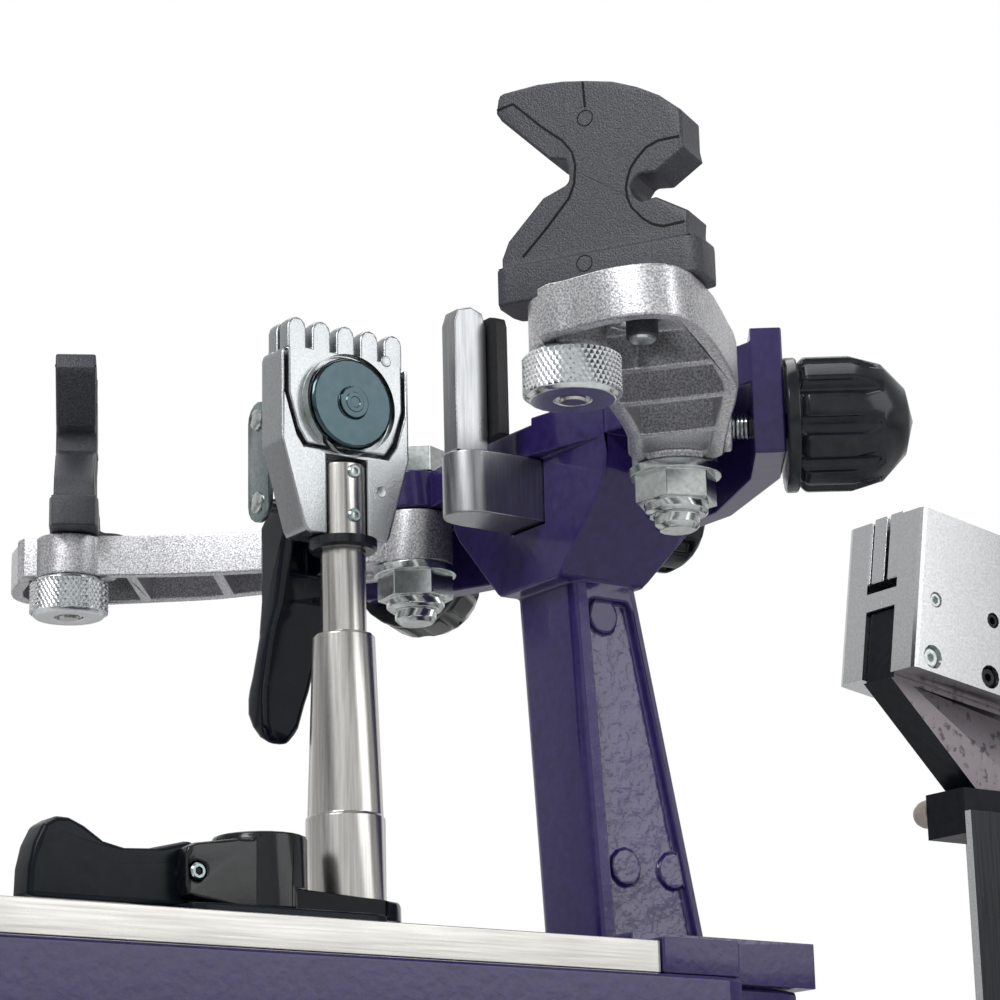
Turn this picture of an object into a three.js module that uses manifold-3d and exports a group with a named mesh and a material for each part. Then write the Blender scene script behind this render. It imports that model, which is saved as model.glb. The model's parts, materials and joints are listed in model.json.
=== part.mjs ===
// A racket stringing machine for a table top, with six mounting points, a lockout tension head
// and two swivel string clamps. Millimetres. The turntable's axis is the origin, X runs along the
// machine towards the tension head, Y across it, and Z up from the table.
import * as THREE from "three";
import { mergeVertices } from "three/addons/utils/BufferGeometryUtils.js";
import Module from "manifold-3d";

const wasm = await Module();
wasm.setup();

// Clearances and counts that every piece shares.
const fit = 0.3; // between pieces that touch
const running = 0.12; // radial, round a pin that turns or slides
const overrun = 1; // how far a cut passes the face that it opens
const sides = 24; // of a round piece
const fewSides = 12; // of a small round piece
const grain = 0.01; // what is smaller is left out of a finished surface
const halfTurn = Math.PI;
const fullTurn = Math.PI * 2;
const fullTurnDegrees = 360;
const degrees = THREE.MathUtils.degToRad;

// The base, from the table up.
const foot = { rise: 12, width: 46, length: 330, corner: 10 };
const base = {
  rise: 34,
  beamWidth: 86,
  crossWidth: 60,
  crossLength: 350,
  tailReach: 190,
  headReach: 616,
  corner: 14,
  pedestalFoot: 62,
  pedestalTop: 34,
  pedestalFlare: 30,
  pedestalBottom: 40,
  flangeRadius: 47,
  flangeRise: 12,
};
const brake = { stemRadius: 4, gripRadius: 13, gripLength: 22, height: 138, flutes: 6, fluteRadius: 2.4 };
const rail = { start: 150, end: 606, width: 64, rise: 26, neck: 44, lipRise: 9, slot: 16, slotDepth: 12 };

// The turntable, a ribbed casting, and the slotted plate on it.
const deck = {
  halfLength: 188.5,
  halfWidth: 60,
  top: 207,
  rise: 40,
  corner: 8,
  wall: 7,
  rib: 6,
  skin: 9,
  endReach: 221,
  endHalfWidth: 43,
  hubRadius: 44,
  hubDrop: 3,
  spindleRadius: 15,
  spindleDrop: 62,
  grooveHalfLength: 150,
  grooveHalf: 13,
  grooveDepth: 16,
  grooveWall: 5,
};
const plate = { halfLength: 162, halfWidth: 57.5, thick: 8, slotHalf: 6.2, corner: 1.5 };

// The mast at each end, measured from the line between its two arms' pivots.
const pivot = { reach: 170, spread: 60.25, boltRadius: 6 };
const arm = {
  under: 336.6,
  rise: 12,
  bossRise: 15.2,
  bossRadius: 11,
  reach: 100.6,
  flare: 32,
  bearing: 142,
  endRadius: 9.6,
  rim: 3.6,
  rib: 3.2,
  skin: 3.4,
  shallow: 2,
  thumbBoss: 8.4,
  seatRadius: 6.4,
  seatReach: 13,
  socketRadius: 4.6,
  socketDepth: 9,
};
const mast = {
  halfWidth: 13.8,
  corner: 4,
  panel: 2.4,
  panelRim: 4.5,
  studRadius: 5,
  studRise: 1.2,
  footTop: 219,
  footEnd: 52.8,
  footHalfWidth: 45,
  stepTop: 216.4,
  stepEnd: 17,
  stepHalfWidth: 57.5,
  columnDrop: 6.6,
  lowLeft: 7.6,
  lowRight: 44.6,
  topLeft: 0.6,
  topRight: 21,
  front: -3.6,
  back: 36,
  headHalf: 36,
  chinDrop: 19.1,
  cheekRise: 4.4,
  cheekCorner: 12,
  chinBack: 25,
  kneeAlong: 35.6,
  kneeAcross: 40,
  roofRise: 10.9,
  roofNose: -7.4,
  roofWaist: -1.6,
  roofBoss: 11.6,
  slotHalf: 7.8,
  slotBack: 5,
  slotDepth: 2,
  wallDrop: 3.1,
  earRise: 3.5,
  wallThick: 6,
  earThick: 8,
  earAhead: 11,
  earBehind: 14,
};
const screw = {
  seat: 7, // its axis above the arm's underside
  along: 14.6,
  across: 86.2,
  bearing: 37,
  stemRadius: 3,
  stemLength: 18.5,
  radius: 17.2,
  length: 33,
  flange: 3.6,
  flangeRadius: 15.4,
  shoulder: 17,
  flutes: 10,
  fluteRadius: 2.6,
  fluteLength: 20,
};
const washer = { radius: 12, thick: 2.4 };
const nut = { across: 19, rise: 7, collarRadius: 8.4, collarRise: 3.2 };
const bolt = { tip: 14, tipRadius: 4.7, headRise: 7.5 };
const support = {
  half: 7.6,
  rise: 17.6,
  nose: 22.1,
  tail: 12,
  postHalf: 3.3,
  postFront: 28.5,
  postLength: 10.5,
  postRise: 41.6,
  postCorner: 5,
  padThick: 3.6,
  padDrop: 2.4,
  padGap: 5.2,
  travel: 8,
};
const lock = {
  radius: 15,
  length: 16,
  stemRadius: 3,
  stemLength: 38,
  flutes: 8,
  fluteRadius: 2.4,
  boreDepth: 22,
};

// The swivelling blocks that hold a frame's shoulders, and the thumb screw under each.
const block = {
  halfWidth: 25.2,
  rise: 51.8,
  baseRise: 9,
  baseThick: 14,
  bodyThick: 11.6,
  outward: 8.7,
  turned: 9,
  boreDepth: 6.5,
  guideRadius: 3.8,
  guideReach: 16.8,
  guideBearing: 29,
  guideSwing: 13,
  guideDrop: 8,
  guideBoss: 6.2,
  guideBossRise: 4,
};
const thumb = { radius: 10.83, rise: 11, edge: 1, recess: 4.2, recessDepth: 1.4, shankRadius: 4 };

// The string clamps, measured from the cam housing's axis.
const clamp = {
  setBack: 36.5,
  shoeLength: 58,
  shoeWidth: 34,
  shoeRise: 8,
  tongueHalf: 5.9,
  hookHalf: 10.5,
  hookRise: 5,
  hookLength: 40,
  pinRadius: 6,
};
const swing = {
  postAlong: 30.9,
  postAcross: 8.6,
  thick: 5.2,
  postBoss: 14,
  housingRadius: 11.9,
  housingRise: 13.9,
  lugHalf: 10,
  lugReach: 26.4,
  lugRise: 11.6,
  lugTip: 6.5,
};
const cam = { half: 4.6, pinAlong: 23, pinRise: 8, pinRadius: 2.2, reach: 66, rise: 12.4 };
const post = {
  footRadius: 10.3,
  footRise: 22.5,
  neckLow: 9.8,
  neckHigh: 8.2,
  neckRise: 47.9,
  rodRadius: 6,
  rodRise: 45.7,
};
const head = {
  socket: 19.7,
  seat: 4.5,
  cheekRise: 26,
  halfTop: 20,
  halfBottom: 13,
  front: 2.4,
  back: 8.2,
  rodHalf: 6.3,
  pocketHalf: 17.8,
  pocketHalfLow: 11.4,
  toothPitch: 7.6,
  toothCount: 5,
  toothRise: 8,
  toothReach: 8.5,
  toothRadius: 2.9,
  toothThick: 4.6,
  jawGap: 1.1,
  lugHalf: 4.5,
  lugReach: 11,
  pinRadius: 2.6,
};
const disc = { radius: 12.6, thick: 3, hubRadius: 4.4, hubRise: 1, rise: 11.9, boreRadius: 3 };
const handle = { rise: 10.2, across: 15, half: 8.6, thick: 9, drop: 61, swingOut: 33, forkReach: 5 };

// The tension head, measured from the turntable's axis.
const gripper = {
  reach: 52.5,
  stand: 107.2,
  length: 62,
  rise: 49.6,
  half: 16.3,
  corner: 1.6,
  slotHalf: 6.5,
  lean: 9,
  jawSlotDepth: 23,
  rockerSlotDepth: 21,
  jawThick: 5.2,
  jawRise: 20,
  jawInset: 1.2,
  jawGap: 1.5,
  jawProud: 1.5,
  pinRadius: 3.6,
  setScrewRadius: 2.4,
  holeAlong: 7,
  holePitch: 23,
  holeDrop: 27.4,
  pinDrop: 45,
};
const rocker = {
  half: 5.9,
  setBack: 20,
  pivotRise: 57,
  hub: 12,
  pinRadius: 4,
  reach: 60,
  blockHalf: 8,
};
const side = { thick: 2.4, inset: 20, length: 56, farLength: 38, rise: 76, corner: 8, webRise: 45 };
const carriage = {
  front: 292,
  back: 392,
  half: 46,
  rise: 26,
  hook: 8,
  corner: 8,
  neckHalf: 21,
  hubRadius: 26,
  hubReach: 24,
  hubSetBack: 40,
  hubHeight: 165,
};
const tube = {
  radius: 15,
  length: 74,
  spigot: 9,
  drop: 28,
  flangeRadius: 17.5,
  flange: 5,
  knobRadius: 20,
  knobLength: 24,
  flutes: 12,
  fluteRadius: 2.2,
};
const crank = {
  radius: 100,
  thick: 9,
  hub: 17,
  eye: 12,
  waist: 8,
  armGap: 70,
  shaftRadius: 8,
  collarRadius: 13.5,
  gripRadius: 13,
  gripNeck: 9.5,
  gripLength: 88,
  boltRadius: 4.5,
  boltHead: 7.5,
};

// Heights that follow from the sizes above.
const frameTop = foot.rise + fit + base.rise;
const railTop = frameTop + fit + rail.rise;
const deckUnder = deck.top - deck.rise;
const plateTop = deck.top + fit + plate.thick;
const shoeTop = plateTop + fit + clamp.shoeRise;
const swingTop = shoeTop + fit + swing.thick;
const neckTop = swingTop + fit + post.footRise + post.neckRise;
const rodTop = neckTop + post.rodRise;
const headUnder = rodTop - head.socket;
const headShoulder = rodTop + head.seat;
const headTop = headShoulder + head.cheekRise;
const toothTop = headTop + head.toothReach;
const discHeight = headShoulder + disc.rise;
const hingeHeight = headUnder + handle.rise;
const roofUnder = arm.under + arm.bossRise + fit;
const roofTop = roofUnder + mast.roofRise;
const armTop = arm.under + arm.rise;
const blockUnder = armTop + fit;
const supportUnder = roofUnder - fit - support.rise;
const supportTop = roofUnder - fit;
const postTop = supportTop + support.postRise;
const columnTop = arm.under - mast.columnDrop;
const chin = arm.under - mast.chinDrop;
const cheek = arm.under + mast.cheekRise;
const hubTop = carriage.hubHeight + carriage.hubRadius;
const webTop = hubTop + side.webRise;
const tubeHeight = webTop - tube.drop;
const pivotHeight = hubTop + rocker.pivotRise;
const gripperTop = pivotHeight + gripper.stand;

// Places along the machine that follow from the sizes above.
const clampReach = (cam.reach + pivot.reach) / 2 - clamp.setBack;
const hubAlong = carriage.back - carriage.hubSetBack;
const sideBack = carriage.back - side.inset;
const pivotAlong = sideBack - rocker.setBack;
const gripperFront = pivotAlong - gripper.reach;

// Paint and metal colours, from the photograph.
const purple = () => new THREE.MeshStandardMaterial({ color: 0x35296b, roughness: 0.3, metalness: 0 });
const casting = () => new THREE.MeshStandardMaterial({ color: 0xb4b6b8, roughness: 0.4, metalness: 0.8 });
const steel = () => new THREE.MeshStandardMaterial({ color: 0xb9b6b0, roughness: 0.3, metalness: 1 });
const zinc = () => new THREE.MeshStandardMaterial({ color: 0xc2c8c8, roughness: 0.25, metalness: 1 });
const chrome = () => new THREE.MeshStandardMaterial({ color: 0xd8dadc, roughness: 0.12, metalness: 1 });
const glossBlack = () => new THREE.MeshStandardMaterial({ color: 0x101214, roughness: 0.25, metalness: 0 });
const mattBlack = () => new THREE.MeshStandardMaterial({ color: 0x2b2c30, roughness: 0.75, metalness: 0 });
const rubber = () => new THREE.MeshStandardMaterial({ color: 0x17181a, roughness: 0.9, metalness: 0 });

// A closed three.js geometry as a solid that can be joined and cut.
function solid(geometry) {
  const bare = geometry.index ? geometry.toNonIndexed() : geometry;
  bare.deleteAttribute("normal");
  bare.deleteAttribute("uv");
  const merged = mergeVertices(bare);
  const { Manifold, Mesh } = wasm;
  return new Manifold(
    new Mesh({
      numProp: 3,
      vertProperties: merged.attributes.position.array,
      triVerts: new Uint32Array(merged.index.array),
    }),
  );
}

const join = (...parts) => parts.reduce((whole, part) => whole.add(part));
const cut = (whole, ...parts) => parts.reduce((left, part) => left.subtract(part), whole);
const shift = (part, x, y, z) => part.translate([x, y, z]);
const turn = (part, bearing) => part.rotate([0, 0, bearing]);
const flip = (part) => part.mirror([0, 1, 0]);

// A solid as a three.js geometry.
function geometryOf(part) {
  const { vertProperties, triVerts } = part.asOriginal().simplify(grain).getMesh();
  const geometry = new THREE.BufferGeometry();
  geometry.setAttribute("position", new THREE.BufferAttribute(vertProperties, 3));
  geometry.setIndex(new THREE.BufferAttribute(triVerts, 1));
  geometry.computeVertexNormals();
  return geometry;
}

const plane = ([x, y]) => new THREE.Vector2(x, y);
const circle = (radius, count = sides, x = 0, y = 0) =>
  Array.from({ length: count }, (_, i) => {
    const angle = (fullTurn * i) / count;
    return [x + radius * Math.cos(angle), y + radius * Math.sin(angle)];
  });
// The radius of a bore whose flats clear a pin.
const clear = (radius, count = fewSides) => (radius + running) / Math.cos(halfTurn / count);
const rectangle = (x0, x1, y0, y1) => [[x0, y0], [x1, y0], [x1, y1], [x0, y1]];

// An outline through corners [x, y, radius], each rounded by its own radius.
function rounded(corners, steps = 2) {
  return corners.flatMap((corner, i) => {
    if (!corner[2]) return [[corner[0], corner[1]]];
    const here = plane(corner);
    const before = plane(corners.at(i - 1)).sub(here).normalize();
    const after = plane(corners[(i + 1) % corners.length]).sub(here).normalize();
    const reach = corner[2] / Math.tan(before.angleTo(after) / 2);
    const start = here.clone().addScaledVector(before, reach);
    const end = here.clone().addScaledVector(after, reach);
    return new THREE.QuadraticBezierCurve(start, here, end).getPoints(steps).map((p) => p.toArray());
  });
}

// A rectangle from one x to another, with the same round corner four times.
const softened = (from, to, half, corner) =>
  rounded([[from, -half, corner], [to, -half, corner], [to, half, corner], [from, half, corner]]);

// A smooth closed outline through points.
function smooth(points, count) {
  const path = points.map(([x, y]) => new THREE.Vector3(x, y, 0));
  const curve = new THREE.CatmullRomCurve3(path, true, "centripetal");
  return curve.getPoints(count).slice(0, count).map((p) => [p.x, p.y]);
}

// Extrusions of an outline: upwards, across the machine, and along it.
function slab(outline, low, high) {
  const shape = new THREE.Shape(outline.map(plane));
  const geometry = new THREE.ExtrudeGeometry(shape, { depth: high - low, bevelEnabled: false, steps: 1 });
  return shift(solid(geometry), 0, 0, low);
}
const across = (outline, near, far) =>
  slab(outline, -far, -near).transform([1, 0, 0, 0, 0, 0, 1, 0, 0, -1, 0, 0, 0, 0, 0, 1]);
const lengthways = (outline, low, high) =>
  slab(outline, low, high).transform([0, 1, 0, 0, 0, 0, 1, 0, 1, 0, 0, 0, 0, 0, 0, 1]);
const upright = (radius, low, high, count = sides) => slab(circle(radius, count), low, high);
const box = (x0, x1, y0, y1, z0, z1) => slab(rectangle(x0, x1, y0, y1), z0, z1);

// A solid turned about Z from a profile of [radius, height] that starts and ends on the axis.
function turned(profile, count = sides) {
  const geometry = new THREE.LatheGeometry(profile.map(plane), count);
  return solid(geometry).rotate([90, 0, 0]);
}
const onX = (part) => part.rotate([0, 90, 0]);
const onY = (part) => part.rotate([-90, 0, 0]);

// A solid skinned over horizontal outlines of as many points each.
function loft(sections) {
  const count = sections[0].outline.length;
  const points = sections.flatMap(({ outline, z }) => outline.map(([x, y]) => [x, y, z])).flat();
  const faces = [];
  for (let level = 1; level < sections.length; level += 1)
    for (let i = 0; i < count; i += 1) {
      const next = (i + 1) % count;
      const [a, b] = [(level - 1) * count + i, (level - 1) * count + next];
      faces.push(a, b, b + count, a, b + count, a + count);
    }
  const lid = THREE.ShapeUtils.triangulateShape(sections[0].outline.map(plane), []);
  const top = (sections.length - 1) * count;
  lid.forEach(([a, b, c]) => faces.push(c, b, a, a + top, b + top, c + top));
  const geometry = new THREE.BufferGeometry();
  geometry.setAttribute("position", new THREE.Float32BufferAttribute(points, 3));
  geometry.setIndex(faces);
  return solid(geometry);
}

// A hexagonal prism, by its size across the flats.
const hexagon = (acrossFlats, low, high) => upright(acrossFlats / 2 / Math.cos(halfTurn / 6), low, high, 6);

// Rounded ribs of a grip: grooves cut along Z round a solid.
function grooved(part, radius, count, grooveRadius, low, high) {
  const groove = shift(upright(grooveRadius, low, high, fewSides / 2), radius, 0, 0);
  const grooves = Array.from({ length: count }, (_, i) => turn(groove, (360 * i) / count));
  return cut(part, ...grooves);
}

// A quarter of an ellipse from the rim of a dome to its tip.
const dome = (radius, low, high, steps = 3) =>
  Array.from({ length: steps + 1 }, (_, i) => {
    const angle = (halfTurn * i) / steps / 2;
    return [i === steps ? 0 : radius * Math.cos(angle), low + (high - low) * Math.sin(angle)];
  });

const stage = new THREE.Group();

// Adds a solid to a group as a named mesh.
function add(group, name, part, material, place = {}) {
  const mesh = new THREE.Mesh(geometryOf(part), material);
  mesh.name = name;
  mesh.position.set(place.x ?? 0, place.y ?? 0, place.z ?? 0);
  mesh.rotation.z = degrees(place.bearing ?? 0);
  group.add(mesh);
}

// The base: a beam with two cross members and a flared pedestal, cast in one.
function baseFrame() {
  const { corner } = base;
  const bar = (x0, x1, half) =>
    rounded([[x0, -half, corner], [x1, -half, corner], [x1, half, corner], [x0, half, corner]]);
  const low = foot.rise + fit;
  const beam = slab(bar(-base.tailReach, base.headReach, base.beamWidth / 2), low, frameTop);
  const cross = (x) => slab(bar(x, x + base.crossWidth, base.crossLength / 2), low, frameTop);
  const top = deckUnder - fit - deck.hubDrop;
  const pedestal = turned([
    [0, low],
    [base.pedestalFoot, low],
    [base.pedestalFoot, frameTop],
    [base.pedestalBottom, frameTop + base.pedestalFlare],
    [base.pedestalTop, top - base.flangeRise * 2],
    [base.flangeRadius, top - base.flangeRise],
    [base.flangeRadius, top],
    [0, top],
  ]);
  const bore = onX(upright(clear(brake.stemRadius), 0, base.pedestalFoot, fewSides));
  const spindle = upright(clear(deck.spindleRadius, sides), top - deck.spindleDrop - fit, top + overrun);
  const whole = join(beam, cross(-base.tailReach), cross(base.headReach - base.crossWidth), pedestal);
  return cut(whole, spindle, shift(turn(bore, -90), 0, 0, brake.height));
}

// A rubber sole under a cross member.
function sole() {
  const { width, length, corner, rise } = foot;
  const [x, y] = [width / 2, length / 2];
  return slab(rounded([[-x, -y, corner], [x, -y, corner], [x, y, corner], [-x, y, corner]]), 0, rise);
}

// The knob that locks the turntable.
function brakeKnob() {
  const { stemRadius, gripRadius, gripLength, flutes, fluteRadius } = brake;
  const start = base.flangeRadius + fit;
  const middle = start + gripLength / 2;
  const profile = [[0, start], [gripRadius, start], ...dome(gripRadius, middle, start + gripLength)];
  const grip = grooved(turned(profile), gripRadius, flutes, fluteRadius, start - overrun, middle);
  const stem = upright(stemRadius, deck.spindleRadius + fit, start + overrun, fewSides);
  return turn(onX(join(grip, stem)), -90);
}

// The rail that the tension head rides on: a lipped section with a slot along its top.
function tensionRail() {
  const [wide, narrow, half] = [rail.width / 2, rail.neck / 2, rail.slot / 2];
  const low = frameTop + fit;
  const neckTop = railTop - rail.lipRise;
  const outline = [
    [-narrow, low],
    [narrow, low],
    [narrow, neckTop],
    [wide, neckTop],
    [wide, railTop],
    [half, railTop],
    [half, railTop - rail.slotDepth],
    [-half, railTop - rail.slotDepth],
    [-half, railTop],
    [-wide, railTop],
    [-wide, neckTop],
    [-narrow, neckTop],
  ];
  return lengthways(outline, rail.start, rail.end);
}

// The turntable: a casting open underneath, with ribs, a hub and a groove for the clamps' shoes.
function turntable() {
  const { halfLength, halfWidth, endReach, endHalfWidth, corner, wall, top, skin } = deck;
  const round = (x, y) => rounded([[-x, -y, corner], [x, -y, corner], [x, y, corner], [-x, y, corner]]);
  const outer = join(
    slab(round(halfLength, halfWidth), deckUnder, top),
    slab(round(endReach, endHalfWidth), deckUnder, top),
  );
  const pocketNear = deck.grooveHalf + deck.grooveWall;
  const bay = (halfLength - wall * 2) / 3;
  const pocket = (x) =>
    slab(
      rounded([
        [x + deck.rib / 2, pocketNear, corner],
        [x + bay - deck.rib / 2, pocketNear, corner],
        [x + bay - deck.rib / 2, halfWidth - wall, corner],
        [x + deck.rib / 2, halfWidth - wall, corner],
      ]),
      deckUnder - overrun,
      top - skin,
    );
  const pockets = [-3, -2, -1, 0, 1, 2].flatMap((i) => [pocket(i * bay), flip(pocket(i * bay))]);
  const { grooveHalf, grooveHalfLength, grooveDepth, hubRadius, hubDrop } = deck;
  const grooveFloor = top - grooveDepth;
  const opened = top + overrun;
  const groove = box(-grooveHalfLength, grooveHalfLength, -grooveHalf, grooveHalf, grooveFloor, opened);
  const hub = upright(hubRadius, deckUnder - hubDrop, top - grooveDepth - overrun);
  const spindle = upright(deck.spindleRadius, deckUnder - hubDrop - fit - deck.spindleDrop, deckUnder);
  return join(cut(outer, ...pockets, groove), hub, spindle);
}

// The slotted plate that the clamps glide on.
function glidePlate() {
  const { halfLength, halfWidth, slotHalf, corner } = plate;
  const outline = rounded([
    [-halfLength, -halfWidth, corner],
    [halfLength, -halfWidth, corner],
    [halfLength, halfWidth, corner],
    [-halfLength, halfWidth, corner],
  ]);
  const low = deck.top + fit;
  const slot = rectangle(-deck.grooveHalfLength, deck.grooveHalfLength, -slotHalf, slotHalf);
  return cut(slab(outline, low, plateTop), slab(slot, low - overrun, plateTop + overrun));
}

const origin = new THREE.Vector2();

// Points given as shares of a width and a height; a third share rounds that corner.
const spread = (shares, width, height) =>
  shares.map(([x, y, round = 0]) => [x * width, y * height, round * width]);

// An outline moved inwards, for the wall round a pocket.
function inset(outline, wall) {
  return outline.map((point, i) => {
    const here = plane(point);
    const before = here.clone().sub(plane(outline.at(i - 1))).normalize();
    const after = plane(outline[(i + 1) % outline.length]).sub(here).normalize();
    const inward = before.add(after).normalize().rotateAround(origin, halfTurn / 2);
    return here.addScaledVector(inward, wall).toArray();
  });
}

// A pin or a bore along X.
const bar = (radius, from, to, count = fewSides) => onX(upright(radius, from, to, count));
// A pin or a bore along Y.
const crossbar = (radius, from, to, count = fewSides) =>
  onY(upright(radius, -to, -from, count)).mirror([0, 1, 0]);

// How far along a mast a line from the foot to the top of its column has come at a height.
const lean = (low, high, z) => THREE.MathUtils.mapLinear(z, mast.footTop, columnTop, low, high);

// The tapered column of a mast, with a sunk panel and round studs on each side.
function column() {
  const { halfWidth, corner, panelRim, panel, studRadius, studRise } = mast;
  const section = (x0, x1) => softened(x0, x1, halfWidth, corner);
  const body = loft([
    { outline: section(mast.lowLeft, mast.lowRight), z: mast.stepTop },
    { outline: section(mast.topLeft, mast.topRight), z: columnTop },
  ]);
  const left = (z) => lean(mast.lowLeft, mast.topLeft, z);
  const right = (z) => lean(mast.lowRight, mast.topRight, z);
  const [low, high] = [mast.footTop, chin - panelRim];
  const round = corner / 2;
  const sunk = rounded([
    [left(low) + panelRim, low, round],
    [right(low) - panelRim, low, round],
    [right(high) - panelRim, high, round],
    [left(high) + panelRim, high, round],
  ]);
  const floor = halfWidth - panel;
  const studs = studShares.map(([along, up]) => {
    const z = THREE.MathUtils.lerp(mast.footTop, columnTop, up);
    const x = THREE.MathUtils.lerp(left(z), right(z), along);
    return shift(crossbar(studRadius, floor - overrun, floor + studRise), x, 0, z);
  });
  const near = cut(across(sunk, floor, halfWidth + overrun), ...studs);
  return cut(body, near, flip(near));
}
const studShares = [[0.43, 0.81], [0.32, 0.2], [0.79, 0.2]];

// The corners of the ear that a shoulder's screw passes through, on the +Y side.
function earCorners() {
  const face = new THREE.Vector2(screw.along, screw.across);
  const out = new THREE.Vector2(1, 0).rotateAround(origin, degrees(screw.bearing));
  const aside = out.clone().rotateAround(origin, halfTurn / 2);
  const corner = (depth, reach) =>
    face.clone().addScaledVector(out, -depth).addScaledVector(aside, reach).toArray();
  return {
    frontOuter: corner(0, mast.earAhead),
    backOuter: corner(0, -mast.earBehind),
    frontInner: corner(mast.earThick, mast.earAhead),
    backInner: corner(mast.earThick, -mast.earBehind),
  };
}

// A mast: foot, column, head with the tongue's slot, roof over the arms, rear wall and ears.
function mastCasting() {
  const low = deck.top + fit;
  const start = plate.halfLength + fit - pivot.reach;
  const foot = box(start, mast.footEnd, -mast.footHalfWidth, mast.footHalfWidth, low, mast.footTop);
  const step = box(start, mast.stepEnd, -mast.stepHalfWidth, mast.stepHalfWidth, low, mast.stepTop);
  const chest = rounded([
    [-mast.headHalf, roofUnder],
    [-mast.headHalf, cheek, mast.cheekCorner],
    [-mast.halfWidth, chin, mast.corner],
    [mast.halfWidth, chin, mast.corner],
    [mast.headHalf, cheek, mast.cheekCorner],
    [mast.headHalf, roofUnder],
  ]);
  const roof = [[mast.headHalf, roofTop], [-mast.headHalf, roofTop]];
  const block = lengthways([...chest, ...roof], mast.front, mast.back);
  const profile = [
    [mast.front, chin],
    [mast.chinBack, chin],
    [mast.back, cheek],
    [mast.back, roofTop],
    [mast.front, roofTop],
  ];
  const headBox = block.intersect(across(profile, -mast.headHalf, mast.headHalf));
  const ear = earCorners();
  const roofHalf = [
    [mast.back, 0],
    [mast.kneeAlong, mast.kneeAcross],
    ear.backOuter,
    ear.frontOuter,
    ear.frontInner,
    [0, pivot.spread + mast.roofBoss],
    [mast.roofWaist, pivot.spread - mast.roofBoss],
    [mast.roofNose, mast.slotHalf],
    [mast.roofNose, 0],
  ];
  const wallHalf = [
    [mast.back, 0],
    [mast.kneeAlong, mast.kneeAcross],
    ear.backOuter,
    ear.frontOuter,
    ear.frontInner,
    ear.backInner,
    [mast.kneeAlong - mast.wallThick, mast.kneeAcross],
    [mast.back - mast.wallThick, 0],
  ];
  const boss = shift(upright(mast.roofBoss, roofUnder, roofTop), 0, pivot.spread, 0);
  const wall = slab(wallHalf, arm.under - mast.wallDrop, roofTop + mast.earRise);
  const half = join(slab(roofHalf, roofUnder, roofTop), boss, wall);
  const whole = join(foot, step, column(), headBox, half, flip(half));
  return cut(whole, ...mastBores());
}

// What is cut out of a mast: the tongue's slot, the rest's groove and the bolts' and screws' holes.
function mastBores() {
  const bolt = upright(clear(pivot.boltRadius), roofUnder - overrun, roofTop + overrun, fewSides);
  const boltHole = shift(bolt, 0, pivot.spread, 0);
  const screwHole = shift(
    turn(bar(clear(screw.stemRadius), -mast.earThick * 2, overrun), screw.bearing),
    screw.along,
    screw.across,
    arm.under + screw.seat,
  );
  const slotHalf = support.half + running;
  const slotBack = support.tail + support.travel + fit;
  const slot = box(mast.front - overrun, slotBack, -slotHalf, slotHalf, supportUnder - fit, roofUnder);
  const groove = box(
    mast.roofNose - overrun,
    mast.slotBack,
    -mast.slotHalf,
    mast.slotHalf,
    roofTop - mast.slotDepth,
    roofTop + overrun,
  );
  const lockHole = shift(bar(clear(lock.stemRadius), 0, mast.back + overrun), 0, 0, tongueHeight);
  return [boltHole, flip(boltHole), screwHole, flip(screwHole), slot, groove, lockHole];
}
const tongueHeight = (supportUnder + supportTop) / 2;

// The centre support: a tongue that slides in the mast, with an upright post at its nose.
function centreSupport() {
  const { half, nose, tail, postHalf, postFront, postLength, postCorner } = support;
  const tongue = join(
    box(-nose, tail, -half, half, supportUnder, supportTop),
    shift(upright(half, supportUnder, supportTop), -nose, 0, 0),
  );
  const back = postLength - postFront;
  const upper = rounded([
    [-postFront, supportTop - overrun],
    [back, supportTop - overrun],
    [back, postTop, postCorner],
    [-postFront, postTop, postCorner],
  ]);
  const bore = shift(bar(clear(lock.stemRadius), tail - lock.boreDepth, tail + overrun), 0, 0, tongueHeight);
  return cut(join(tongue, across(upper, -postHalf, postHalf)), bore);
}

// The pad that a frame bears on.
function supportPad() {
  const start = support.postLength - support.postFront + fit;
  const half = support.half;
  const under = supportTop + support.padGap;
  const top = postTop - support.padDrop;
  const outline = rounded([
    [-half, under],
    [half, under],
    [half, top, support.postHalf],
    [-half, top, support.postHalf],
  ]);
  return lengthways(outline, start, start + support.padThick);
}

// The knob whose lead screw moves the tongue.
function lockKnob() {
  const { radius, length, stemRadius, stemLength, flutes, fluteRadius } = lock;
  const profile = [[0, 0], [radius, 0], ...dome(radius, length * domeShare, length)];
  const grip = grooved(turned(profile), radius, flutes, fluteRadius, -overrun, length * domeShare);
  return onX(join(grip, upright(stemRadius, -stemLength, overrun, fewSides)));
}
const domeShare = 0.6;

// A shoulder arm, in its own frame: X from the pivot to the block's axis, Y outwards.
const armShares = [
  [0.08, -0.25], [0.3, -0.15], [0.51, -0.09], [0.71, -0.08], [1.13, -0.12], [1.16, 0.12], [1.2, 0.45],
  [1.2, 0.74], [1.16, 0.91], [1, 1], [0.77, 0.98], [0.61, 0.94], [0.33, 0.68], [0.2, 0.56], [0.03, 0.35],
];
const ribShares = [0.3, 0.57, 0.82];
const screwPlace = new THREE.Vector2(screw.along, pivot.spread - screw.across);
screwPlace.rotateAround(origin, degrees(arm.bearing));
const onScrew = (part) =>
  shift(turn(part, arm.bearing - screw.bearing), screwPlace.x, screwPlace.y, arm.under + screw.seat);

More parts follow.
